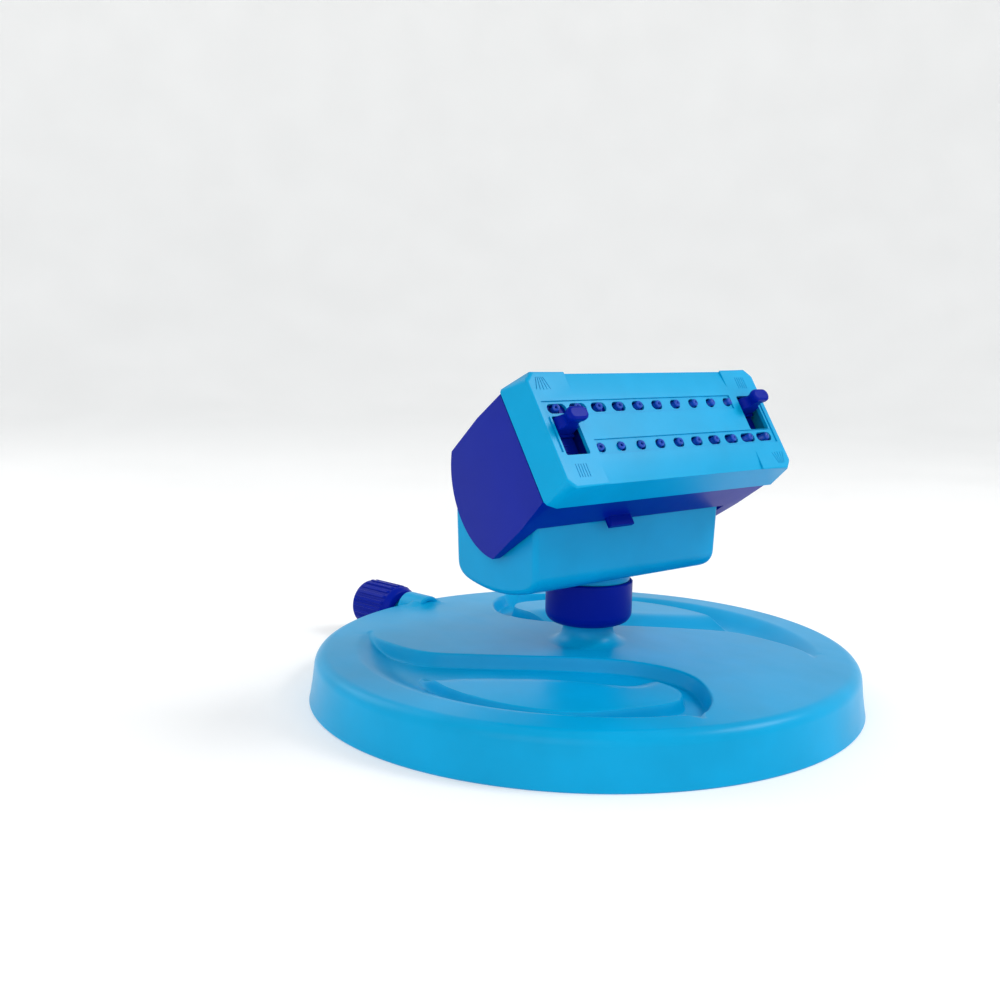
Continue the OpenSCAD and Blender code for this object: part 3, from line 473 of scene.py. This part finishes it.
def top_height(points):
    height = crown(points)
    radius = np.hypot(points[:, 0], points[:, 1])
    for flip, outline, island in ((1, swooshes[0], leaves[0]), (-1, swooshes[1], leaves[1])):
        turn = np.degrees(np.arctan2(flip * points[:, 1], flip * points[:, 0])) % 360
        ramp_width = ramp_wide + (ramp_steep - ramp_wide) * ease((turn - 218) / 26) * (turn < 300)
        ramp = ease((recess_r - radius) / ramp_width)
        wall = ease(0.5 - signed_distance(points, outline) / 0.0042)
        depth = recess_depth * ramp * wall
        top = np.minimum(depth, leaf_depth)
        soft_side = ease(line_distance(points, flip * leaf_inner) / leaf_slope)
        raised = ease(0.5 - signed_distance(points, island) / 0.0024) * soft_side
        height -= depth + (top - depth) * raised
    along, across = points @ inlet_dir, np.abs(points @ inlet_side)
    half = np.sqrt(np.maximum(hump_r ** 2 - np.maximum(crown(points) - hump_z, 0) ** 2, 0))
    gap = np.hypot(np.maximum(across - half, 0), np.maximum(hump_start - along, 0))
    fillet = 0.003
    near = np.clip(fillet - gap, 0, fillet)
    return height + fillet - np.sqrt(fillet ** 2 - near ** 2)


# %% Points of the base's top
foot_r = 0.026
top_r = rim_r - 0.004
ring_count = 360
hub_count = 120


def offsets(loop, distances):
    tangent = np.roll(loop, -1, 0) - np.roll(loop, 1, 0)
    normal = np.stack([-tangent[:, 1], tangent[:, 0]], 1) / np.linalg.norm(tangent, axis=1)[:, None]
    return [loop + normal * d for d in distances]


def ring(radius, count):
    turns = 2 * np.pi * np.arange(count) / count
    return np.stack([radius * np.cos(turns), radius * np.sin(turns)], 1)


rows = []
for loop in swooshes:
    rows += offsets(loop, np.array([-3.2, -2.1, -1.5, -0.9, -0.3, 0.3, 0.9, 1.5, 2.1, 3.2]) * MM)
for loop in leaves:
    rows += offsets(loop, np.array([-2.0, -1.2, -0.7, -0.25, 0.25, 0.7, 1.2, 2.0]) * MM)
detail = np.concatenate(rows)
radius = np.hypot(detail[:, 0], detail[:, 1])
detail = detail[(radius < top_r - 0.001) & (radius > foot_r + 0.001)]
fill_step = 0.0034
fill = np.concatenate([ring(r, max(24, int(2 * math.pi * r / fill_step)))
                       for r in np.arange(foot_r + fill_step, top_r - 0.002, fill_step)])
near = np.full(len(fill), 1e9)
for loop in swooshes + leaves:
    near = np.minimum(near, np.abs(signed_distance(fill, loop)))
fill = fill[near > 0.0042]
hub_ring, rim_ring = ring(foot_r, hub_count), ring(top_r, ring_count)
flat_points = np.concatenate([hub_ring, rim_ring, detail, fill])
print(len(flat_points), "points over the base")

# %% Mesh of the base
made = delaunay_2d_cdt([Vector(p) for p in flat_points], [], [], 0, 2e-5)
top_xy = np.array([tuple(v) for v in made[0]])
top_faces = [tuple(f) for f in made[2]]
top_z = top_height(top_xy)
base_verts = [(x, y, z) for (x, y), z in zip(top_xy, top_z)]
centres = np.array([top_xy[list(f)].mean(0) for f in top_faces])
base_faces = [f for f, c in zip(top_faces, centres) if math.hypot(*c) > foot_r * 0.9995]


def find_ring(wanted):
    # where each point of a ring ended up after the triangulation
    order = []
    for p in wanted:
        order.append(int(np.argmin(((top_xy - p) ** 2).sum(1))))
    return order


def add_rows(start, outline, count):
    # carries a ring on through (radius, height) rows, and returns the last ring
    previous = start
    for r, z in outline:
        current = list(range(len(base_verts), len(base_verts) + count))
        base_verts.extend(on_circle(r, z, k, count) for k in range(count))
        for k in range(count):
            following = (k + 1) % count
            base_faces.append((previous[k], previous[following], current[following], current[k]))
        previous = current
    return previous


def arc_rows(centre_r, centre_z, radius, start, end, steps):
    return [(centre_r + radius * math.cos(math.radians(start + (end - start) * i / steps)),
             centre_z + radius * math.sin(math.radians(start + (end - start) * i / steps)))
            for i in range(steps + 1)]


wall_in = 0.0035
plate_z = 0.0026
rim_rows = arc_rows(rim_r, rim_h - rim_round, rim_round, 90, 8, 12)
rim_rows += [(base_r - 0.0022, 0.012), (base_r - 0.0006, 0.0024), (base_r - 0.0002, 0.0009),
             (base_r - 0.0009, 0.0), (base_r - wall_in + 0.0004, 0.0), (base_r - wall_in, 0.0006),
             (base_r - wall_in, plate_z)]
outer_end = add_rows(find_ring(rim_ring), rim_rows, ring_count)
post_r, post_top = 0.016, 0.064
post_bore = 0.013
crown_at_foot = rim_h + crown_rise * (1 - (foot_r / rim_r) ** 2)
post_rows = arc_rows(foot_r, crown_at_foot + 0.01, 0.01, 266, 180, 10)
post_rows += [(post_r, post_top - 0.0006), (post_r - 0.0006, post_top), (post_bore + 0.0004, post_top),
              (post_bore, post_top - 0.0004), (post_bore, plate_z)]
inner_end = add_rows(find_ring(hub_ring), post_rows, hub_count)
ratio = ring_count // hub_count
for k in range(hub_count):
    following = (k + 1) % hub_count
    outer = [outer_end[(k * ratio + j) % ring_count] for j in range(ratio + 1)]
    base_faces.append((inner_end[k], *outer, inner_end[following]))
base_mesh = mesh_from("base_moulding", base_verts, base_faces)
finish_piece("base_moulding", base_mesh, light_blue, "base",
             ["base_shell", "centre_post"], 50)

# %% Boss where the hose inlet leaves the base
bore_r = 0.0073
boss_round = 0.0028
boss_outline = rounded([(bore_r, hump_start), (hump_r, hump_start), (hump_r, hump_end),
                        (bore_r, hump_end)], boss_round, 6)
boss_place = Matrix.Translation((0, 0, hump_z - inlet_z)) @ inlet_place
finish_piece("inlet_boss", lathe("inlet_boss", boss_outline, 96, boss_place), light_blue, "base")

# %% [markdown]
# ## Repeated details
# Ribs, screws and nozzles repeat, so they come from Geometry Nodes: one template is instanced on the
# points of a circle or a line, and the result is made real before it is turned into a plain mesh. That
# keeps one place to change a rib, and the counts and radii stay readable as inputs.

# %% Geometry Nodes helpers
TREE_INPUTS = {"Count": "NodeSocketInt", "Template": "NodeSocketObject", "Finish": "NodeSocketMaterial",
               "Radius": "NodeSocketFloat", "Start": "NodeSocketFloat", "Pitch": "NodeSocketFloat",
               "Lean": "NodeSocketFloat"}


def start_tree(name, labels):
    tree = bpy.data.node_groups.new(name, "GeometryNodeTree")
    for label in labels:
        tree.interface.new_socket(label, in_out="INPUT", socket_type=TREE_INPUTS[label])
    tree.interface.new_socket("Geometry", in_out="OUTPUT", socket_type="NodeSocketGeometry")
    return tree, tree.nodes.new("NodeGroupInput"), tree.nodes.new("NodeGroupOutput")


def add_math(tree, operation, first, second):
    node = tree.nodes.new("ShaderNodeMath")
    node.operation = operation
    for socket, value in zip(node.inputs, (first, second)):
        if isinstance(value, (int, float)):
            socket.default_value = value
        else:
            tree.links.new(value, socket)
    return node.outputs[0]


def plant(tree, given, output, points, turn_axis, angle):
    # puts the template on every point, turned by the angle about one axis, and finishes the tree
    info = tree.nodes.new("GeometryNodeObjectInfo")
    tree.links.new(given.outputs["Template"], info.inputs["Object"])
    turn = tree.nodes.new("ShaderNodeCombineXYZ")
    tree.links.new(angle, turn.inputs[turn_axis])
    rotation = tree.nodes.new("FunctionNodeEulerToRotation")
    tree.links.new(turn.outputs[0], rotation.inputs[0])
    place = tree.nodes.new("GeometryNodeInstanceOnPoints")
    tree.links.new(points, place.inputs["Points"])
    tree.links.new(info.outputs["Geometry"], place.inputs["Instance"])
    tree.links.new(rotation.outputs[0], place.inputs["Rotation"])
    real = tree.nodes.new("GeometryNodeRealizeInstances")
    tree.links.new(place.outputs["Instances"], real.inputs["Geometry"])
    paint = tree.nodes.new("GeometryNodeSetMaterial")
    tree.links.new(real.outputs["Geometry"], paint.inputs["Geometry"])
    tree.links.new(given.outputs["Finish"], paint.inputs["Material"])
    tree.links.new(paint.outputs["Geometry"], output.inputs["Geometry"])


def ring_tree():
    tree, given, output = start_tree("ring_of_parts", ["Count", "Radius", "Start", "Template", "Finish"])
    index = tree.nodes.new("GeometryNodeInputIndex")
    step = add_math(tree, "DIVIDE", 2 * math.pi, given.outputs["Count"])
    turned = add_math(tree, "MULTIPLY", index.outputs[0], step)
    angle = add_math(tree, "ADD", turned, given.outputs["Start"])
    circle = tree.nodes.new("GeometryNodeMeshCircle")
    tree.links.new(given.outputs["Count"], circle.inputs["Vertices"])
    spot = tree.nodes.new("ShaderNodeCombineXYZ")
    for axis, operation in enumerate(("COSINE", "SINE")):
        wave = add_math(tree, operation, angle, 0)
        tree.links.new(add_math(tree, "MULTIPLY", wave, given.outputs["Radius"]), spot.inputs[axis])
    moved = tree.nodes.new("GeometryNodeSetPosition")
    tree.links.new(circle.outputs["Mesh"], moved.inputs["Geometry"])
    tree.links.new(spot.outputs[0], moved.inputs["Position"])
    plant(tree, given, output, moved.outputs["Geometry"], 2, angle)
    return tree


def row_tree():
    tree, given, output = start_tree(
        "row_of_parts", ["Count", "Start", "Pitch", "Lean", "Template", "Finish"])
    index = tree.nodes.new("GeometryNodeInputIndex")
    last = add_math(tree, "SUBTRACT", given.outputs["Count"], 1)
    share = add_math(tree, "SUBTRACT", add_math(tree, "DIVIDE", index.outputs[0], last), 0.5)
    angle = add_math(tree, "MULTIPLY", share, given.outputs["Lean"])
    line = tree.nodes.new("GeometryNodeMeshLine")
    tree.links.new(given.outputs["Count"], line.inputs["Count"])
    for label, socket in (("Start", "Start Location"), ("Pitch", "Offset")):
        along = tree.nodes.new("ShaderNodeCombineXYZ")
        tree.links.new(given.outputs[label], along.inputs[0])
        tree.links.new(along.outputs[0], line.inputs[socket])
    plant(tree, given, output, line.outputs["Mesh"], 1, angle)
    return tree


def grow(name, tree, template_mesh, finish, **values):
    template = bpy.data.objects.new(name + "_template", template_mesh)
    holder = bpy.data.objects.new(name, bpy.data.meshes.new(name))
    bpy.context.scene.collection.objects.link(holder)
    modifier = holder.modifiers.new("make", "NODES")
    modifier.node_group = tree
    sockets = {item.name: item.identifier for item in tree.interface.items_tree
               if item.in_out == "INPUT"}
    for label, value in dict(values, Template=template, Finish=finish).items():
        modifier[sockets[label]] = value
    holder.update_tag()
    evaluated = holder.evaluated_get(bpy.context.evaluated_depsgraph_get())
    mesh = bpy.data.meshes.new_from_object(evaluated)
    bpy.data.objects.remove(holder)
    bpy.data.objects.remove(template)
    return mesh


ring_of_parts, row_of_parts = ring_tree(), row_tree()


# %% Mesh helpers for the pieces
def joined(name, *meshes):
    bm = bmesh.new()
    for mesh in meshes:
        bm.from_mesh(mesh)
    result = bpy.data.meshes.new(name)
    bm.to_mesh(result)
    bm.free()
    return result


def placed(mesh, matrix):
    mesh.transform(matrix)
    return mesh


def loft(name, sections):
    # stacked closed outlines with the same number of points, capped at both ends
    count = len(sections[0])
    verts = [p for section in sections for p in section]
    faces = [tuple(range(count)), tuple(range(len(verts) - count, len(verts)))]
    for level in range(len(sections) - 1):
        for k in range(count):
            a, b = level * count + k, level * count + (k + 1) % count
            faces.append((a, b, b + count, a + count))
    return mesh_from(name, verts, faces)


def pad(half_x, half_y, z, corner, steps=6, centre=(0, 0)):
    # a rectangle with round corners at one height, all in millimetres
    points = []
    for turn, (sx, sy) in enumerate(((1, 1), (-1, 1), (-1, -1), (1, -1))):
        for step in range(steps + 1):
            angle = math.radians(90 * (turn + step / steps))
            points.append(((centre[0] + sx * (half_x - corner) + corner * math.cos(angle)) * MM,
                           (centre[1] + sy * (half_y - corner) + corner * math.sin(angle)) * MM, z * MM))
    return points


def cylinder_outline(r0, r1, z0, z1, soft=0.4):
    # the outline of a ring or tube with soft edges, in millimetres
    corners = [(r0, z0), (r1, z0), (r1, z1), (r0, z1)]
    return rounded([(r * MM, z * MM) for r, z in corners], soft * MM, 4)


# %% [markdown]
# ## Coupling nut and inlet
# The nut is turned by hand, so it has ribs all round to grip. Its body is a lathed cup, and a single rib
# with rounded ends is repeated around it. The pipe behind it carries the flange that the nut pulls on.

# %% Nut and pipe
nut_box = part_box("coupling_nut")
nut_centre = (nut_box[0] + nut_box[1]) / 2
nut_middle = math.hypot(nut_centre.x, nut_centre.y) * 1000
nut_r = (inlet_z - nut_box[0].z) * 1000
nut_len = 38.0
nut_back = nut_middle - nut_len / 2
nut_front = nut_middle + nut_len / 2
rib_count = 22
body_r = nut_r - 0.9
thread_r = 12.45
thread_cut = thread_r + 0.8
lip_r = 9.2
floor_thick = 3.5
nut_outline = rounded([(r * MM, u * MM) for r, u in (
    (lip_r, nut_back), (body_r - 2.4, nut_back), (body_r, nut_back + 4), (body_r, nut_front),
    (thread_cut, nut_front), (thread_cut, nut_back + floor_thick), (lip_r, nut_back + floor_thick))],
    1.1 * MM, 5)
rib_half_l = nut_len / 2 - 3.6
rib = loft("rib", [
    pad(0.35, 1.05, -rib_half_l, 0.3, 3, (-0.2, 0)), pad(0.75, 1.3, -rib_half_l + 1.0, 0.6, 3),
    pad(0.85, 1.35, -rib_half_l + 2.4, 0.7, 3), pad(0.85, 1.35, rib_half_l - 1.6, 0.7, 3),
    pad(0.8, 1.3, rib_half_l - 0.5, 0.6, 3), pad(0.45, 1.1, rib_half_l, 0.4, 3, (-0.2, 0))])
ribs = grow("nut_ribs", ring_of_parts, rib, dark_blue, Count=rib_count,
            Radius=(body_r + 0.05) * MM, Start=0.0)
ribs.transform(Matrix.Translation((0, 0, (nut_middle + 1.6) * MM)))
thread_start, thread_pitch, turn_count = 3.2, 2.2, 6
# radius and height of one ridge, which stands in for a turn of the thread
ridge = ((thread_r + 0.9, -0.8), (thread_r, -0.15), (thread_r, 0.15), (thread_r + 0.9, 0.8))
thread_turns = []
for k in range(turn_count):
    at = nut_front - thread_start - thread_pitch * k
    turn_outline = rounded([(r * MM, (at + dz) * MM) for r, dz in ridge], 0.1 * MM, 2)
    thread_turns.append(lathe("thread", turn_outline, 96))
nut_mesh = placed(joined("nut", lathe("nut", nut_outline, 132), ribs, *thread_turns), inlet_place)
finish_piece("coupling_nut_moulding", nut_mesh, dark_blue, "coupling",
             ["coupling_nut"], 40)

pipe_start = 24.0
pipe_end = nut_back + floor_thick + 0.3 + 3
flange_r = thread_cut - 1.2
pipe_outline = rounded([(r * MM, u * MM) for r, u in (
    (5, pipe_start), (7, pipe_start), (7, pipe_end - 3), (flange_r, pipe_end - 3), (flange_r, pipe_end),
    (5, pipe_end))], 0.4 * MM, 3)
finish_piece("inlet_pipe_moulding", lathe("pipe", pipe_outline, 96, inlet_place), light_blue, "base",
             ["inlet_pipe"])

# %% [markdown]
# ## Collar and trough
# The dark collar under the trough is a plain turned shape with a deep round edge at its foot. The trough
# is a tub with soft corners. A solid block is rounded first and hollowed after, because a thin wall would
# limit the size of its bevels.

# %% Collar
collar_low, collar_high = (corner.z * 1000 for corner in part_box("swivel_collar"))
collar_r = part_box("swivel_collar")[1].x * 1000
collar_round = 7.0
post_gap_r = 16.5
neck_bore_r = 8.1
roof_z = 66.0
collar_points = [(post_gap_r, roof_z), (post_gap_r, collar_low + 0.6), (post_gap_r + 0.6, collar_low)]
collar_points += [(r * 1000, z * 1000) for r, z in arc_rows(
    (collar_r - collar_round) * MM, (collar_low + collar_round) * MM, collar_round * MM, 270, 360, 10)]
collar_points += [(collar_r, collar_high - 0.8), (collar_r - 0.8, collar_high),
                  (neck_bore_r, collar_high), (neck_bore_r, roof_z)]
collar_mesh = lathe("collar", [(r * MM, z * MM) for r, z in collar_points], 144)
finish_piece("swivel_collar_moulding", collar_mesh, dark_blue, "turret",
             ["swivel_collar"], 35)

# %% Trough
trough_half_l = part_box("trough")[1].x
trough_half_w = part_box("trough")[1].y
trough_rim = 0.121
trough_wall = 0.0024
belly_z = 0.0747
belly_sag = 0.0069
draft = 0.020
corner_round = 0.0036


def trough_block():
    belly = [(y * trough_half_w, belly_z + belly_sag * y * y) for y in np.linspace(1, -1, 25)]
    side_top = trough_rim + 0.02
    outline = [(trough_half_w, side_top)] + belly + [(-trough_half_w, side_top)]
    soft = []
    for index, point in enumerate(outline):
        if index in (1, len(outline) - 2):
            inner = outline[index + (3 if index == 1 else -3)]
            start, end = Vector((point[0], point[1] + 0.008)), Vector(inner)
            soft_corner = [tuple(start.lerp(Vector(point), t).lerp(Vector(point).lerp(end, t), t))
                           for t in np.linspace(0, 1, 8)]
            soft += soft_corner if index == 1 else soft_corner[::-1]
        elif index not in (2, 3, 4, len(outline) - 3, len(outline) - 4, len(outline) - 5):
            soft.append(point)
    count = len(soft)
    bm = bmesh.new()
    ends = [[bm.verts.new((side * trough_half_l, y, z)) for y, z in soft] for side in (-1, 1)]
    bm.faces.new(ends[0])
    bm.faces.new(ends[1][::-1])
    for k in range(count):
        bm.faces.new((ends[0][k], ends[1][k], ends[1][(k + 1) % count], ends[0][(k + 1) % count]))
    bmesh.ops.recalc_face_normals(bm, faces=bm.faces)
    rims = [e for e in bm.edges if abs(e.verts[0].co.x - e.verts[1].co.x) < 1e-6]
    bmesh.ops.bevel(bm, geom=rims, offset=corner_round, offset_type="OFFSET", segments=5, profile=0.5,
                    affect="EDGES", clamp_overlap=False)
    bmesh.ops.bisect_plane(bm, geom=bm.verts[:] + bm.edges[:] + bm.faces[:], plane_co=(0, 0, trough_rim),
                           plane_no=(0, 0, 1), clear_outer=True)
    for v in bm.verts:
        narrow = draft * (trough_rim - v.co.z) / (trough_rim - belly_z)
        v.co.x *= 1 - narrow
        v.co.y *= 1 - narrow
    bmesh.ops.recalc_face_normals(bm, faces=bm.faces)
    mesh = bpy.data.meshes.new("trough")
    bm.to_mesh(mesh)
    bm.free()
    return mesh


def with_modifiers(mesh, *settings):
    # applies modifiers to a mesh and gives the plain result
    holder = bpy.data.objects.new("holder", mesh)
    bpy.context.scene.collection.objects.link(holder)
    for kind, values in settings:
        modifier = holder.modifiers.new(kind, kind)
        for key, value in values.items():
            setattr(modifier, key, value)
    evaluated = holder.evaluated_get(bpy.context.evaluated_depsgraph_get())
    result = bpy.data.meshes.new_from_object(evaluated)
    bpy.data.objects.remove(holder)
    return result


edge_round = ("BEVEL", {"width": 0.0007, "segments": 3, "limit_method": "ANGLE",
                        "angle_limit": math.radians(50)})
hollow_out = ("SOLIDIFY", {"thickness": trough_wall, "offset": -1.0})
tub = with_modifiers(trough_block(), hollow_out, edge_round)
ear_r, pivot_mm = 14.0, pivot.z * 1000
ear_side = [(ear_r * math.cos(a), pivot_mm + ear_r * math.sin(a))
            for a in np.radians(np.linspace(0, 180, 25))]
ear_side += [(-trough_half_w * 1000 + 8, trough_rim * 1000 - 2),
             (trough_half_w * 1000 - 8, trough_rim * 1000 - 2)]
ear_thick = ((trough_half_l - trough_wall) * 1000, trough_half_l * 1000)
ears = []
for side in (-1, 1):
    block = loft("ear", [[(side * x * MM, y * MM, z * MM) for y, z in ear_side] for x in ear_thick])
    ears.append(with_modifiers(block, edge_round))
neck = lathe("neck", cylinder_outline(neck_bore_r, collar_r - 2, collar_high, collar_high + 5, 0.6), 128)
finish_piece("trough_moulding", joined("trough", tub, neck, *ears), light_blue, "turret",
             ["trough"], 35)

# %% [markdown]
# ## Head
# The housing and the cover are copies of the frame's own shapes, because the slots, windows and combs
# have to line up. They get real edge rounds: a wide one where a hand would feel the outside, and a fine
# one around every slot. The cover's two long margins also slope more gently than in the frame.

# %% Edges of the head
sharp_edge = math.radians(28)


def head_edges(node_name, wide, fine, is_outer, reshape=None):
    mesh = nodes[node_name].data.copy()
    mesh.transform(head_place.inverted())
    bm = bmesh.new()
    bm.from_mesh(mesh)
    bmesh.ops.remove_doubles(bm, verts=bm.verts, dist=5e-5)
    bmesh.ops.dissolve_limit(bm, angle_limit=math.radians(0.6), verts=bm.verts, edges=bm.edges)
    for v in bm.verts if reshape else []:
        reshape(v.co)
    for width, outer in ((wide, True), (fine, False)):
        edges = [e for e in bm.edges if e.is_manifold and e.calc_face_angle(0) > sharp_edge
                 and is_outer((e.verts[0].co + e.verts[1].co) * 500) == outer]
        bmesh.ops.bevel(bm, geom=edges, offset=width, offset_type="OFFSET", segments=4 if outer else 2,
                        profile=0.5, affect="EDGES", clamp_overlap=True, loop_slide=True)
        print(node_name, len(edges), "edges rounded by", width)
    bmesh.ops.triangulate(bm, faces=[f for f in bm.faces if len(f.verts) > 4])
    bm.to_mesh(mesh)
    bm.free()
    return placed(mesh, head_place)


def cover_outside(p):
    # the outermost skin of the cover, whose walls lean in towards the top at 75 mm
    down = 75 - p.z
    skin = (abs(p.x) > 94.1 + 0.18 * down or abs(p.y) > 34.4 + 0.12 * down
            or abs(p.x) + abs(p.y) > 123.8 + 0.3 * down)
    return skin and p.z > 57


def ease_margins(co):
    # the long margins between the corner pads: a gentler slope, set in a little from the pads
    if abs(co.x) < 0.0662 and 0.070 < co.z < 0.0749 and abs(co.y) > 0.0335:
        co.z = 0.075 - (0.075 - co.z) * 0.6
        co.y -= math.copysign(0.0015, co.y)


def housing_outside(p):
    near_bore = math.hypot(p.y, p.z) < 14
    return (abs(p.x) > 78 or abs(p.y) > 34) and abs(p.y) < 36 and not near_bore


cover_mesh = head_edges("top_cover", 0.0015, 0.0002, cover_outside, ease_margins)
finish_piece("top_cover_moulding", cover_mesh, light_blue, "head",
             ["top_cover"], 30)
housing_mesh = head_edges("head_housing", 0.0009, 0.0003, housing_outside)
finish_piece("head_housing_moulding", housing_mesh, dark_blue, "head",
             ["head_housing"], 30)

# %% [markdown]
# ## Nozzles
# Each nozzle is a soft rubber cone with a rolled lip and a small bore, which can be rubbed clean with a
# thumb. One cone is lathed, and a Geometry Nodes row repeats it with a lean that opens the fan of jets.

# %% Nozzle rows
nozzle_count, nozzle_pitch, row_y, row_end_x = 10, 15.7, 12.5, 81.0
tip_outline = [(0.0006, 0.0012), (0.00062, 0.0052), (0.0009, 0.00575), (0.0014, 0.006), (0.0019, 0.0058),
               (0.00225, 0.0053), (0.00225, 0.0047), (0.002, 0.0042), (0.0021, 0.0030), (0.0027, 0.0005),
               (0.0029, 0.0), (0.0006, 0.0)]
strip_top = 70.4
fan_lean = math.radians(34)
half_turn = Matrix.Rotation(math.pi, 4, "Z")
for node_name, turned in (("nozzle_strip_back", Matrix.Identity(4)), ("nozzle_strip_front", half_turn)):
    tips = grow(node_name + "_tips", row_of_parts, lathe("tip", tip_outline, 28), nozzle_rubber,
                Count=nozzle_count, Start=-row_end_x * MM, Pitch=nozzle_pitch * MM, Lean=fan_lean)
    tips.transform(Matrix.Translation((0, row_y * MM, strip_top * MM)))
    bed_half = (nozzle_count - 1) * nozzle_pitch / 2 + 6
    bed_centre = (-row_end_x + (nozzle_count - 1) * nozzle_pitch / 2, row_y)
    bed = loft("bed", [pad(bed_half, 5.2, z, 2.5, 4, bed_centre) for z in (strip_top - 1.9, strip_top)])
    finish_piece(node_name + "_rubber", placed(joined(node_name, tips, bed), head_place @ turned),
                 nozzle_rubber, "head", [node_name], 40)

# %% [markdown]
# ## Pattern sliders
# A slider is a knob with a flared top that a wet thumb can push. It is lofted through rounded
# rectangles, so the waist and the crown flow into each other the way the moulded part does.

# %% Sliders
window_x, slider_back, knob_l, travel = 79.25, 7.0, 7.6, 13.5
knob_middle = slider_back - knob_l / 2
# each level is half length, half width, height and corner radius
knob_levels = [(7.6, 3.8, 68.0, 1.0), (7.6, 3.8, 72.0, 1.0), (7.2, 3.8, 75.6, 1.2), (6.0, 3.7, 77.0, 1.8),
               (5.2, 3.4, 79.0, 2.0), (5.2, 3.3, 80.6, 2.2), (6.0, 3.6, 82.2, 2.8), (6.8, 3.95, 83.4, 3.4),
               (7.1, 4.1, 84.8, 3.7), (7.0, 4.0, 86.0, 3.6), (6.3, 3.4, 86.8, 3.1), (5.2, 2.4, 87.0, 2.2)]
foot_levels = [(9.4, 4.8, 66.4, 0.8), (9.6, 5.0, 66.7, 0.8), (9.6, 5.0, 67.9, 0.8), (9.4, 4.8, 68.2, 0.8)]
for node_name, body, turned in (
        ("left_slider", "left_slide", Matrix.Identity(4)),
        ("right_slider", "right_slide", Matrix.Translation((0, travel * MM, 0)) @ half_turn)):
    at = (-window_x, knob_middle)
    parts = [loft(node_name, [pad(hx, hy, z, corner, 6, at) for hx, hy, z, corner in levels])
             for levels in (knob_levels, foot_levels)]
    finish_piece(node_name + "_knob", placed(joined(node_name, *parts), head_place @ turned), dark_blue,
                 body, [node_name], 50)

# %% [markdown]
# ## Screws and small parts
# The screws are pan heads with a cross recess. One head is modelled and repeated on the ring of the
# bottom plate. The other small mouldings keep the frame's shape and get fine edge rounds.

# %% Screws
def pan_screw(length):
    head = lathe("head", [(0.0, 0.0), (0.0024, 0.0), (0.0031, 0.0003), (0.0034, 0.0009), (0.0034, 0.0016),
                          (0.0017, 0.0016), (0.0017, length * MM), (0.0, length * MM)], 32)
    cuts = [loft("cut", [pad(2.0, 0.35, -0.12, 0.2, 2), pad(1.6, 0.3, 0.05, 0.2, 2)]) for _ in range(2)]
    cuts[1].transform(Matrix.Rotation(math.pi / 2, 4, "Z"))
    return joined("screw", head, *cuts)


screw_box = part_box("base_screws")
screw_length = (screw_box[1].z - screw_box[0].z) * 1000
screw_ring_r = base_r - 0.017
base_screw_mesh = grow("base_screws", ring_of_parts, pan_screw(screw_length), bright_steel, Count=6,
                       Radius=screw_ring_r, Start=math.radians(6))
base_screw_mesh.transform(Matrix.Translation((0, 0, screw_box[0].z + 0.00012)))
finish_piece("base_screw_set", base_screw_mesh, bright_steel, "base", ["base_screws"])

# %% Small mouldings with fine edges
fine_edges = {"base_plate": 0.0005, "slide_plate_left": 0.0002, "slide_plate_right": 0.0002,
              "back_comb": 0.0002, "front_comb": 0.0002, "sector_gear": 0.00012, "turbine_housing": 0.0003}
for node_name, width in fine_edges.items():
    finish_piece(node_name + "_edged", soften(node_name, width, 2), slot_finish[node_slot[node_name]],
                 nodes[node_name]["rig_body"], [node_name])
